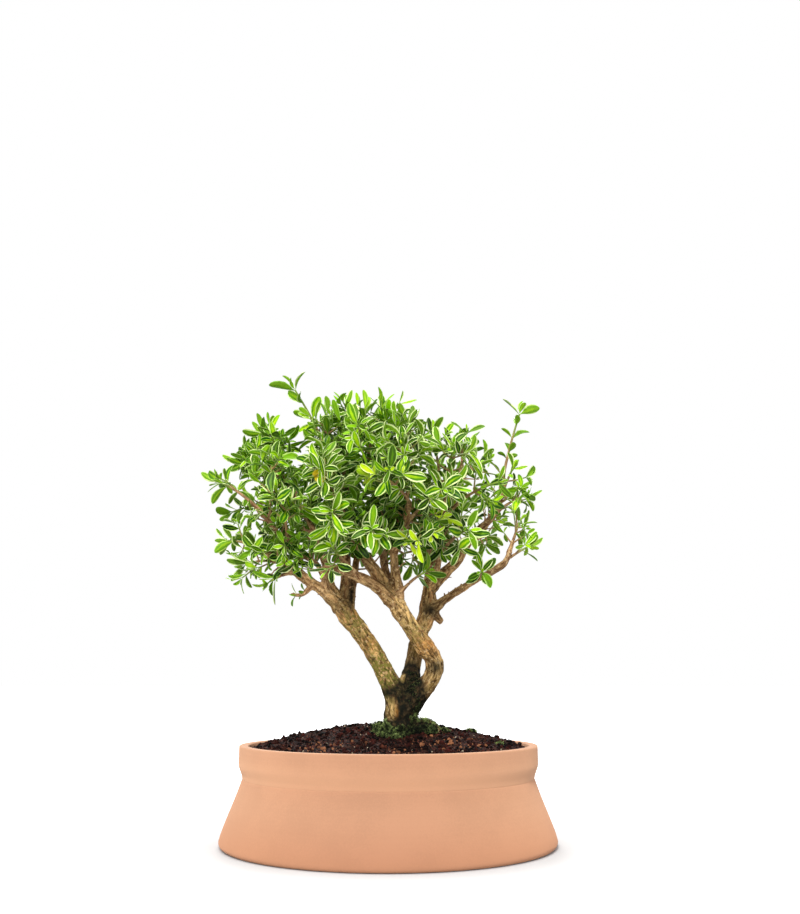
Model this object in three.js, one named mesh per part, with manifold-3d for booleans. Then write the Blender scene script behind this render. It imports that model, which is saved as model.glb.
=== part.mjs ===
// A variegated serissa bonsai in a round terracotta pot, in millimetres, +Z up.
// The origin is the centre of the pot's flat underside, and the front faces -Y.
import * as THREE from "three";
import { mergeVertices } from "three/addons/utils/BufferGeometryUtils.js";
import Module from "manifold-3d";

const wasm = await Module();
wasm.setup();

// Driving dimensions
const GAP = 0.3; // clearance between pieces that touch
const POT = {
  height: 67.5,
  rimRadius: 105.5,
  creaseRadius: 102.8,
  creaseHeight: 45.2,
  bellyRadius: 117.6,
  bellyHeight: 5,
  footRadius: 113.5,
  wall: 6.5,
  floor: 7,
  footBevel: 1.6,
  collarFlare: 2.2, // how far the collar already widens one third of its height above the crease
  lipBevel: 0.8,
  innerBevel: 6,
  sides: 36,
};
const DRAIN = { count: 3, holeRadius: 7, circleRadius: 48, sides: 12 };
const SCREEN = { side: 26, thickness: 1.2, opening: 9, bar: 2 };
const RECESS_HEIGHT = 4; // of the cutter for the hollow in the soil round each screen
const SOIL = {
  edgeHeight: 65,
  rise: 15,
  peak: [4, 30],
  spread: [112, 72],
  topRings: [0.84, 0.56, 0.28],
};
const TWIG = { seat: 1, tip: 0.65, sideTip: 0.5, sideLength: 12, sideSpread: 7, knot: 1.4 };
const LEAF = {
  length: 16.5,
  width: 6,
  thickness: 0.7,
  neck: 0.45,
  droop: 1.2,
  // along the blade: share of its length, and share of its full width there
  shoulders: [
    [0.32, 0.88],
    [0.68, 0.84],
  ],
  leastSize: 0.85,
  sizeSpread: 0.35,
};

// Bare branches: [x, y, z, radius] at each bend, from the root end outwards
const TRUNK = [
  [7, 1, 40, 9],
  [7, 1, 58, 13],
  [7, 0, 70, 12.5],
  [7, 0, 78, 10.6],
  [7, 0, 88, 10],
  [8, 0, 98, 10],
];
const STEMS = {
  left: [
    [7, 0, 88, 8.2],
    [4, -2, 103, 7.3],
    [-4, -5, 119, 6.6],
    [-13, -8, 135, 6.1],
    [-21, -11, 147, 6.1],
    [-29, -14, 157, 6.5],
    [-35, -16, 166, 6.6],
  ],
  middle: [
    [11, 2, 90, 6.8],
    [15, 6, 109, 6.4],
    [17, 8, 121, 5.8],
    [20, 10, 134, 5.8],
    [24, 12, 147, 5.6],
    [28, 14, 160, 5.8],
    [31, 18, 186, 5.2],
    [33, 21, 201, 4.8],
    [35, 24, 217, 4],
    [38, 27, 233, 3.2],
    [40, 30, 250, 2.2],
  ],
  right: [
    [10, 0, 90, 7.4],
    [21, -3, 102, 6.6],
    [29, -6, 111, 5.9],
    [33, -8, 120, 5.8],
    [31, -11, 129, 6.1],
    [24, -14, 138, 6.4],
    [17, -16, 147, 6.3],
    [11, -17, 156, 6.1],
    [6, -18, 164, 6],
    [1, -18, 172, 5.4],
  ],
};
const BRANCHES = {
  left_outer: [
    [-34, -15, 164, 5],
    [-46, -18, 174, 4],
    [-59, -22, 183, 3.6],
    [-70, -26, 191, 3.2],
    [-80, -30, 196, 2.7],
    [-90, -33, 203, 2],
  ],
  left_rising: [
    [-37, -15, 167, 4.4],
    [-44, -8, 183, 3.4],
    [-47, -2, 195, 2.9],
    [-52, 4, 211, 2.6],
    [-61, 10, 230, 2.3],
    [-74, 14, 251, 1.9],
    [-87, 16, 267, 1.5],
  ],
  left_back: [
    [-33, -13, 164, 4.4],
    [-32, -6, 180, 3.6],
    [-32, 0, 193, 3.3],
    [-31, 6, 211, 3],
    [-34, 14, 235, 2.6],
    [-38, 16, 258, 2],
  ],
  left_inner: [
    [-29, -12, 164, 3.6],
    [-26, 0, 183, 2.9],
    [-25, 12, 197, 2.6],
    [-21, 24, 217, 2.3],
    [-16, 34, 238, 1.9],
  ],
  left_thin: [
    [-44, -19, 176, 2.4],
    [-51, -24, 193, 1.8],
    [-64, -28, 200, 1.6],
    [-77, -32, 212, 1.5],
    [-88, -36, 226, 1.4],
  ],
  right_light: [
    [3, -18, 168, 4.8],
    [-9, -24, 178, 3.9],
    [-19, -28, 183, 3.5],
    [-27, -30, 186, 3.3],
    [-36, -32, 189, 3],
    [-45, -34, 192, 2.4],
  ],
  right_dark: [
    [2, -17, 168, 4.8],
    [-6, -14, 183, 4.3],
    [-12, -14, 192, 4],
    [-20, -14, 203, 3.5],
    [-28, -14, 216, 2.8],
    [-37, -16, 232, 2.2],
  ],
  right_back: [
    [3, -16, 168, 4.2],
    [-2, -8, 187, 3.3],
    [-4, -2, 199, 2.9],
    [-5, 6, 211, 2.6],
    [-4, 14, 231, 2.2],
    [-3, 20, 252, 1.8],
  ],
  right_front: [
    [6, -18, 163, 4.8],
    [7, -16, 176, 4],
    [5, -16, 186, 3.6],
    [4, -18, 197, 3.2],
    [3, -22, 211, 2.8],
    [7, -28, 228, 2.2],
  ],
  middle_low: [
    [31, 14, 162, 4.2],
    [45, 10, 173, 3.2],
    [55, 4, 179, 3],
    [65, -2, 185, 2.6],
    [74, -8, 189, 2.5],
    [83, -13, 194, 2.2],
    [87, -16, 202, 1.6],
  ],
  middle_high: [
    [31, 17, 179, 4.6],
    [43, 18, 192, 3.8],
    [51, 16, 200, 3.8],
    [56, 16, 208, 3.5],
    [62, 14, 218, 3.2],
    [70, 12, 225, 2.9],
    [78, 10, 233, 2.4],
    [83, 8, 243, 2.2],
    [85, 6, 257, 1.9],
  ],
  middle_straight: [
    [33, 18, 187, 3.6],
    [36, 10, 198, 3],
    [38, 2, 212, 2.5],
    [40, -4, 228, 2.2],
    [46, -2, 246, 1.9],
    [54, 0, 262, 1.6],
  ],
  back_left: [
    [-32, 2, 197, 3],
    [-40, 24, 212, 2.5],
    [-46, 42, 228, 2],
  ],
  back_right: [
    [33, 21, 201, 3.4],
    [36, 40, 214, 2.7],
    [38, 52, 230, 2],
  ],
  front_left: [
    [-19, -14, 201, 2.8],
    [-26, -32, 212, 2.3],
    [-32, -48, 226, 1.8],
  ],
  front_right: [
    [4, -20, 203, 2.8],
    [10, -36, 216, 2.3],
    [15, -49, 232, 1.8],
  ],
};
// Short broken twigs left on the stems, and the arched surface root on the right
const STUBS = [
  [
    [12, 4, 101, 2.6],
    [11, 0, 112, 2.4],
    [10, -1, 116, 1.7],
  ],
  [
    [34, 16, 160, 3],
    [39, 12, 154, 2.2],
  ],
  [
    [-55, -20, 178, 2],
    [-62, -20, 172, 1.5],
    [-70, -21, 172, 1.1],
  ],
];
const SURFACE_ROOT = [
  [9, -1, 76, 8],
  [20, 1, 77.5, 7],
  [28, 0, 76.5, 6.6],
  [35, -3, 70, 5.6],
  [40, -6, 60, 4],
];
const LEAF_LEAN = 0.85; // how far most leaves lean out from their twig, in radians
const TWIG_LEAN = 0.8; // how far side twigs lean out
const LEAN_SPREAD = 0.3;
const LEADER_RADIUS = 2; // where a spray's branch leaves the branch that carries it
const LEADER_STEP = 28; // length of each straight stretch of a spray's branch
const LOWEST_CARRIER = 158; // height above which branches carry sprays
const CARRIER_REACH = 0.7; // least length of a spray's whole branch, as a share of its twig's length
const CARRIER_SPACING = 8; // between the places where two sprays' branches leave one branch
const TURNING_COST = 1.7; // above 1, so that a place that heads the wrong way costs more
const BARE_STRETCH = 10; // shortest bare length of a branch outside the one that carries it
const ROOTS = { count: 4, start: 4, startRadius: 7.5, spread: 58, depth: 30, twist: 0.3 };
const PROBE_SKIP = 1.5; // try-out solids start this far out, past the face they grow from

// How each kind of spray is built: the length of its twig, where along it its pairs grow, and
// how far its last leaves lean out, in radians
const KINDS = {
  full: { reach: 36, pairs: [["twigs", 0.36], ["leaves", 0.7], ["leaves", 1]], lastLean: 0.6 },
  small: { reach: 20, pairs: [["leaves", 0.5], ["leaves", 1]], lastLean: 0.7 },
  shoot: {
    reach: 58,
    pairs: [["leaves", 0.3], ["leaves", 0.56], ["leaves", 0.8], ["leaves", 1]],
    lastLean: 0.3,
  },
};
// The place of each spray's tip
const SPRAYS = {
  // long young shoots that stand above the crown
  shoot: [
    [-71, -10, 326],
    [99, 0, 310],
  ],
  full: [
    // outline seen from the front, from low left round to low right
    [-104, -14, 194],
    [-120, -2, 213],
    [-118, 8, 236],
    [-126, -8, 256],
    [-108, 6, 277],
    [-88, -4, 291],
    [-46, -16, 302],
    [-26, 2, 311],
    [-6, 8, 316],
    [14, -12, 301],
    [33, 8, 297],
    [54, 2, 288],
    [72, 8, 276],
    [92, -8, 266],
    [100, 4, 247],
    [96, -6, 226],
    [101, -14, 207],
    // front
    [-38, -72, 224],
    [-38, -56, 201],
    [-47, -74, 260],
    [-8, -80, 248],
    [10, -76, 274],
    [43, -70, 243],
    [29, -63, 211],
    [-3, -62, 210],
    [56, -48, 215],
    [-70, -58, 233],
    [-82, -44, 266],
    [-22, -66, 287],
    [45, -58, 272],
    [78, -40, 250],
    // back
    [-80, 46, 258],
    [-56, 64, 234],
    [-44, 52, 284],
    [-10, 78, 246],
    [0, 54, 294],
    [30, 76, 238],
    [38, 56, 276],
    [68, 50, 252],
    [78, 36, 222],
    [-86, 36, 218],
    [4, 58, 208],
  ],
  // low young twigs
  small: [
    [-84, -32, 180],
    [66, -26, 188],
    [27, -26, 188],
  ],
};

// A number from 0 to 1 that depends only on three whole numbers
function draw(a, b, c) {
  const s = Math.sin(a * 127.1 + b * 311.7 + c * 74.7) * 43758.5453;
  return s - Math.floor(s);
}

const vec = (p) => new THREE.Vector3(p[0], p[1], p[2]);
const UP = new THREE.Vector3(0, 0, 1);

// A closed three.js geometry as a solid that can be joined and cut
function solidOf(geometry) {
  const bare = geometry.index ? geometry.toNonIndexed() : geometry.clone();
  for (const name of Object.keys(bare.attributes)) {
    if (name !== "position") bare.deleteAttribute(name);
  }
  const merged = mergeVertices(bare, 1e-4);
  const corners = merged.index.array;
  const triangles = [];
  for (let i = 0; i < corners.length; i += 3) {
    const [a, b, c] = corners.slice(i, i + 3);
    if (a !== b && b !== c && a !== c) triangles.push(a, b, c);
  }
  return new wasm.Manifold(
    new wasm.Mesh({
      numProp: 3,
      vertProperties: new Float32Array(merged.attributes.position.array),
      triVerts: new Uint32Array(triangles),
    }),
  );
}

function meshOf(name, solid, material) {
  const { vertProperties, triVerts } = solid.getMesh();
  const geometry = new THREE.BufferGeometry();
  geometry.setAttribute("position", new THREE.BufferAttribute(vertProperties, 3));
  geometry.setIndex(new THREE.BufferAttribute(triVerts, 1));
  geometry.computeVertexNormals();
  const mesh = new THREE.Mesh(geometry, material);
  mesh.name = name;
  return mesh;
}

function geometryOf(points, faces) {
  const geometry = new THREE.BufferGeometry();
  geometry.setAttribute("position", new THREE.Float32BufferAttribute(points.flat(), 3));
  geometry.setIndex(faces.flat());
  return geometry;
}

// A tube with flat ends through rings of { at, along, radius }
function tube(rings, sides, grow = 0) {
  const points = [];
  const faces = [];
  let across = new THREE.Vector3(1, 0, 0);
  if (Math.abs(rings[0].along.x) > 0.9) across = new THREE.Vector3(0, 1, 0);
  rings.forEach(({ at, along, radius }, i) => {
    across = across.clone().addScaledVector(along, -across.dot(along)).normalize();
    const other = new THREE.Vector3().crossVectors(along, across);
    for (let k = 0; k < sides; k++) {
      const turn = (k / sides) * 2 * Math.PI;
      const p = at
        .clone()
        .addScaledVector(across, Math.cos(turn) * (radius + grow))
        .addScaledVector(other, Math.sin(turn) * (radius + grow));
      points.push(p.toArray());
    }
    if (i === 0) return;
    for (let k = 0; k < sides; k++) {
      const a = (i - 1) * sides + k;
      const b = (i - 1) * sides + ((k + 1) % sides);
      faces.push([a, b, b + sides], [a, b + sides, a + sides]);
    }
  });
  const last = (rings.length - 1) * sides;
  for (let k = 1; k < sides - 1; k++) {
    faces.push([0, k + 1, k], [last, last + k, last + k + 1]);
  }
  return solidOf(geometryOf(points, faces));
}

// Rings through hand-placed bends, each square to the line between its neighbours
function ringsThrough(bends) {
  return bends.map((bend, i) => {
    const before = vec(bends[Math.max(i - 1, 0)]);
    const after = vec(bends[Math.min(i + 1, bends.length - 1)]);
    return { at: vec(bend), along: after.sub(before).normalize(), radius: bend[3] };
  });
}

// Rings along a curve, from one share of its length to another
function ringsAlong(curve, from, to, steps, startRadius, endRadius) {
  const rings = [];
  for (let i = 0; i <= steps; i++) {
    const share = from + ((to - from) * i) / steps;
    rings.push({
      at: curve.getPointAt(share),
      along: curve.getTangentAt(share),
      radius: startRadius + ((endRadius - startRadius) * i) / steps,
    });
  }
  return rings;
}

const joined = (solids) => solids.reduce((a, b) => a.add(b));

// Pot: one turned profile with three drain holes through its floor
function pot() {
  const p = POT;
  const profile = [
    [0, 0],
    [p.footRadius, 0],
    [p.bellyRadius - 1, p.footBevel],
    [p.bellyRadius, p.bellyHeight],
    [p.creaseRadius, p.creaseHeight],
    [p.creaseRadius + p.collarFlare, p.creaseHeight + (p.height - p.creaseHeight) / 3],
    [p.rimRadius, p.height - p.lipBevel],
    [p.rimRadius - p.lipBevel, p.height],
    [p.rimRadius - p.wall + p.lipBevel, p.height],
    [p.rimRadius - p.wall, p.height - p.lipBevel],
    ...insideProfile(0).reverse(),
    [0, p.floor],
  ];
  const turned = new THREE.LatheGeometry(
    profile.map(([r, z]) => new THREE.Vector2(r, z)),
    p.sides,
  ).rotateX(Math.PI / 2);
  const { holeRadius, sides } = DRAIN;
  const drill = new THREE.CylinderGeometry(holeRadius, holeRadius, 4 * p.floor, sides);
  drill.rotateX(Math.PI / 2);
  return drainPlaces().reduce(
    (body, [x, y]) => body.subtract(solidOf(drill.clone().translate(x, y, 0))),
    solidOf(turned),
  );
}

// The pot's inner wall from its floor up to the crease, drawn in by a clearance
function insideProfile(clear) {
  const p = POT;
  return [
    [p.bellyRadius - p.wall - p.innerBevel - clear, p.floor + clear],
    [p.bellyRadius - p.wall - 1 - clear, p.floor + p.innerBevel],
    [p.creaseRadius - p.wall - clear, p.creaseHeight],
  ];
}

function drainPlaces() {
  return Array.from({ length: DRAIN.count }, (_, i) => {
    const turn = Math.PI / 2 + (i * 2 * Math.PI) / DRAIN.count;
    return [DRAIN.circleRadius * Math.cos(turn), DRAIN.circleRadius * Math.sin(turn)];
  });
}

// Drain screen: a square plastic grid that lies over one drain hole
function drainScreen(x, y) {
  const plate = new THREE.BoxGeometry(SCREEN.side, SCREEN.side, SCREEN.thickness);
  const window = new THREE.BoxGeometry(SCREEN.opening, SCREEN.opening, 2 * SCREEN.thickness);
  const middle = (SCREEN.opening + SCREEN.bar) / 2;
  let grid = solidOf(plate);
  for (const left of [-middle, middle]) {
    for (const low of [-middle, middle]) {
      grid = grid.subtract(solidOf(window.clone().translate(left, low, 0)));
    }
  }
  return grid.translate(x, y, POT.floor + GAP + SCREEN.thickness / 2);
}

// Height of the mounded soil, lumpy and highest behind the trunk
function soilHeight(x, y) {
  const share = Math.hypot(x, y) / (POT.rimRadius - POT.wall);
  const along = (x - SOIL.peak[0]) / SOIL.spread[0];
  const deep = (y - SOIL.peak[1]) / SOIL.spread[1];
  const mound = SOIL.rise * Math.exp(-(along ** 2) - deep ** 2);
  const lumps = 0.9 * Math.sin(x / 9 + 1) * Math.cos(y / 8) + 0.6 * Math.sin(x / 5 - y / 6);
  return SOIL.edgeHeight + (mound + lumps) * Math.max(0, 1 - share ** 4);
}

// Soil: fills the pot, mounded on top, with plain holes for the wood and recesses for the screens
function soil(grownWood) {
  const edge = POT.rimRadius - POT.wall - GAP;
  const profile = [
    [0, POT.floor + GAP],
    ...insideProfile(GAP),
    [edge - 0.8, SOIL.edgeHeight],
    ...SOIL.topRings.map((share) => [edge * share, SOIL.edgeHeight + 1]),
    [0, SOIL.edgeHeight + 1],
  ];
  const fill = new THREE.LatheGeometry(
    profile.map(([r, z]) => new THREE.Vector2(r, z)),
    POT.sides,
  ).rotateX(Math.PI / 2);
  const place = fill.attributes.position;
  for (let i = 0; i < place.count; i++) {
    if (place.getZ(i) > SOIL.edgeHeight) {
      place.setZ(i, soilHeight(place.getX(i), place.getY(i)));
    }
  }
  const width = SCREEN.side + 2 * GAP;
  const recess = new THREE.BoxGeometry(width, width, RECESS_HEIGHT);
  const middle = POT.floor + SCREEN.thickness + 2 * GAP - RECESS_HEIGHT / 2;
  const cut = drainPlaces().reduce(
    (body, [x, y]) => body.subtract(solidOf(recess.clone().translate(x, y, middle))),
    solidOf(fill),
  );
  return cut.subtract(grownWood);
}

// Roots under the soil, spread evenly round the foot of the trunk
function rootBends(i) {
  const turn = ((i + 0.25 + 0.3 * draw(i, 1, 9)) / ROOTS.count) * 2 * Math.PI;
  const foot = vec(TRUNK[1]);
  return [0, 0.5, 1].map((share) => [
    foot.x + Math.cos(turn + ROOTS.twist * share) * (ROOTS.start + ROOTS.spread * share),
    foot.y + Math.sin(turn + ROOTS.twist * share) * (ROOTS.start + ROOTS.spread * share),
    foot.z - 2 - ROOTS.depth * share ** 1.4,
    ROOTS.startRadius * (1 - 0.75 * share),
  ]);
}

// Places on the bare wood where a spray's branch can leave it
function carrierPlaces() {
  const places = [];
  for (const bends of [STEMS.middle, ...Object.values(BRANCHES)]) {
    const rings = ringsThrough(bends);
    rings.slice(1).forEach((ring, i) => {
      for (const share of [0.5, 1]) {
        places.push({
          at: rings[i].at.clone().lerp(ring.at, share),
          along: ring.along,
          radius: rings[i].radius + (ring.radius - rings[i].radius) * share,
        });
      }
    });
  }
  return places.filter((place) => place.at.z > LOWEST_CARRIER);
}

// The nearest free place that already heads the tip's way; its close neighbours are then taken
function nearestCarrier(places, tip, reach) {
  let best = null;
  let least = Infinity;
  for (const place of places) {
    const way = tip.clone().sub(place.at);
    const length = way.length();
    const heading = way.dot(place.along) / length;
    const cost = length * (TURNING_COST - heading);
    if (length > CARRIER_REACH * reach && cost < least && !place.taken) {
      least = cost;
      best = place;
    }
  }
  for (const place of places) place.taken ||= place.at.distanceTo(best.at) < CARRIER_SPACING;
  return best;
}

// The curve from the bare wood to a spray's tip, leaving along the branch it grows from
function leader(carrier, tip) {
  const length = carrier.at.distanceTo(tip);
  const bend = carrier.at
    .clone()
    .lerp(tip, 0.3)
    .addScaledVector(carrier.along, 0.16 * length)
    .addScaledVector(UP, 0.06 * length);
  return new THREE.QuadraticBezierCurve3(carrier.at, bend, tip);
}

// Each spray: its kind, its curve from the bare wood, and where along that its own twig starts
function sprayPlans() {
  const places = carrierPlaces();
  const plans = [];
  for (const [kind, tips] of Object.entries(SPRAYS)) {
    for (const point of tips) {
      const tip = vec(point);
      const carrier = nearestCarrier(places, tip, KINDS[kind].reach);
      const curve = leader(carrier, tip);
      const length = curve.getLength();
      const bare = Math.max(length - KINDS[kind].reach, carrier.radius + BARE_STRETCH);
      const seat = bare / length;
      plans.push({ number: plans.length + 1, kind, tip, curve, length, seat });
    }
  }
  return plans;
}

// A spray's own twig: it goes on straight from the wood's end, then bends to the tip
function twigCurve(plan, [sideways, upwards]) {
  const along = plan.curve.getTangentAt(plan.seat);
  const foot = plan.curve.getPointAt(plan.seat).addScaledVector(along, GAP);
  const side = new THREE.Vector3().crossVectors(along, UP).normalize();
  const tip = plan.tip.clone().addScaledVector(side, sideways).addScaledVector(UP, upwards);
  const bend = foot.clone().addScaledVector(along, 0.45 * foot.distanceTo(tip));
  return new THREE.QuadraticBezierCurve3(foot, bend, tip);
}

function woodBranches(plans, grow) {
  const made = [tube(ringsThrough(TRUNK), 10, grow)];
  for (const bends of Object.values(STEMS)) made.push(tube(ringsThrough(bends), 8, grow));
  for (const bends of Object.values(BRANCHES)) made.push(tube(ringsThrough(bends), 5, grow));
  for (const bends of STUBS) made.push(tube(ringsThrough(bends), 4, grow));
  made.push(tube(ringsThrough(SURFACE_ROOT), 8, grow));
  for (let i = 0; i < ROOTS.count; i++) made.push(tube(ringsThrough(rootBends(i)), 4, grow));
  const seatRadius = TWIG.seat * Math.SQRT2;
  for (const { curve, length, seat } of plans) {
    const steps = Math.max(1, Math.round((seat * length) / LEADER_STEP));
    made.push(tube(ringsAlong(curve, 0, seat, steps, LEADER_RADIUS, seatRadius), 4, grow));
  }
  return made;
}

// One closed mesh of four-sided limbs, where a limb's side face may open into another limb
class Growth {
  points = [];
  faces = [];

  ring(at, along, across, halfWidth, halfHeight) {
    const level = across.clone().addScaledVector(along, -across.dot(along)).normalize();
    const rise = new THREE.Vector3().crossVectors(along, level);
    return [[-1, -1], [1, -1], [1, 1], [-1, 1]].map(([w, h]) => {
      const p = at.clone();
      p.addScaledVector(level, w * halfWidth).addScaledVector(rise, h * halfHeight);
      return this.points.push(p.toArray()) - 1;
    });
  }

  quad([a, b, c, d]) {
    this.faces.push([a, b, c], [a, c, d]);
  }

  side(low, high, k) {
    const next = (k + 1) % 4;
    return [low[k], low[next], high[next], high[k]];
  }

  // Closes the sides between two rings, and hands back those that stay open
  bridge(low, high, open = []) {
    for (let k = 0; k < 4; k++) {
      if (!open.includes(k)) this.quad(this.side(low, high, k));
    }
    return open.map((k) => this.side(low, high, k));
  }

  // A leaf blade: elliptic, pointed and arched, growing out of a four-cornered base
  blade(base, { at, along, across, size }, grow = 0) {
    const length = LEAF.length * size;
    const half = (LEAF.width * size) / 2 + grow;
    const thick = LEAF.thickness / 2 + grow;
    const down = new THREE.Vector3().crossVectors(along, across).negate();
    const place = (share) =>
      at
        .clone()
        .addScaledVector(along, share * length)
        .addScaledVector(down, LEAF.droop * size * (share ** 2 - 0.8 * share));
    const [wide, far] = LEAF.shoulders.map(([share, width]) =>
      this.ring(place(share), along, across, width * half, thick),
    );
    const tip = this.ring(place(1).addScaledVector(along, grow), along, across, 0, thick);
    this.bridge(base, wide);
    this.bridge(wide, far);
    const [under, , over] = tip;
    this.faces.push([far[0], far[1], under], [far[2], far[3], over]);
    this.quad([far[1], far[2], over, under]);
    this.quad([far[3], far[0], under, over]);
  }

  solid() {
    return solidOf(geometryOf(this.points, this.faces));
  }
}

// Keeps solids with their boxes, and says whether a new one stays clear of them
function obstacleCourse() {
  const held = [];
  const boxOf = (solid) => {
    const { min, max } = solid.boundingBox();
    return new THREE.Box3(vec(min), vec(max));
  };
  return {
    add: (solid) => held.push({ solid, box: boxOf(solid) }),
    clears: (solid) => {
      const box = boxOf(solid);
      return !held.some(
        (other) => box.intersectsBox(other.box) && !solid.intersect(other.solid).isEmpty(),
      );
    },
  };
}

// The direction that leaves an axis on one side: tilt is the angle to it, yaw a turn round it
function wayOut(axis, outward, tilt, yaw) {
  const sideways = new THREE.Vector3().crossVectors(axis, outward);
  return axis
    .clone()
    .multiplyScalar(Math.cos(tilt))
    .addScaledVector(outward, Math.sin(tilt) * Math.cos(yaw))
    .addScaledVector(sideways, Math.sin(tilt) * Math.sin(yaw))
    .normalize();
}

// Small shifts of a spray's tip, tried until its twig is clear: [sideways, upwards]
const SHIFTS = [
  [0, 0],
  [5, 2],
  [-5, 2],
  [0, 7],
  [9, 4],
  [-9, 4],
  [6, -6],
  [-6, -6],
  [13, 0],
  [-13, 0],
];

// Small turns tried one after another until a limb is clear: [change of tilt, yaw]
const TURNS = [
  [0, 0],
  [0.2, 0.25],
  [-0.2, -0.25],
  [0.1, -0.5],
  [0.3, 0.5],
  [-0.35, 0.1],
  [0.5, -0.2],
  [-0.3, 0.7],
  [0.6, 0.8],
];

// A closed copy of a limb, grown by the clearance, to try a place with; it starts a little way out
function probe(at, along, across, skip, length, half) {
  const trial = new Growth();
  const start = trial.ring(at.clone().addScaledVector(along, skip), along, across, half, half);
  const end = trial.ring(at.clone().addScaledVector(along, length), along, across, half, half);
  trial.quad([...start].reverse());
  trial.bridge(start, end);
  trial.quad(end);
  return trial.solid();
}

function bladeProbe(leaf) {
  const trial = new Growth();
  const from = leaf.at.clone().addScaledVector(leaf.along, PROBE_SKIP);
  const half = LEAF.neck + GAP;
  const start = trial.ring(from, leaf.along, leaf.across, half, LEAF.thickness / 2 + GAP);
  trial.quad([...start].reverse());
  trial.blade(start, leaf, GAP);
  return trial.solid();
}

// The knots along a spray's twig, with a try-out solid for each stretch between them
function knotsAlong(plan, shift) {
  const curve = twigCurve(plan, shift);
  const knots = [{ at: curve.getPointAt(0), along: curve.getTangentAt(0), half: TWIG.seat }];
  for (const [grows, share] of KINDS[plan.kind].pairs) {
    const half = TWIG.seat + (TWIG.tip - TWIG.seat) * share;
    knots.push({ grows, at: curve.getPointAt(share), along: curve.getTangentAt(share), half });
  }
  const stretches = knots.slice(1).map((knot, i) => {
    const way = knot.at.clone().sub(knots[i].at);
    const across = new THREE.Vector3().crossVectors(way, UP).normalize();
    const length = way.length();
    return probe(knots[i].at, way.normalize(), across, 0, length, knots[i].half + GAP);
  });
  return { knots, stretches };
}

// Settles the way of a spray's twig and keeps it free for the spray
function layTwig(plan, course) {
  for (const shift of SHIFTS) {
    const { knots, stretches } = knotsAlong(plan, shift);
    if (!stretches.every(course.clears)) continue;
    stretches.forEach(course.add);
    return knots;
  }
  throw new Error(`spray ${plan.number} has no clear way to its tip`);
}

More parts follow.
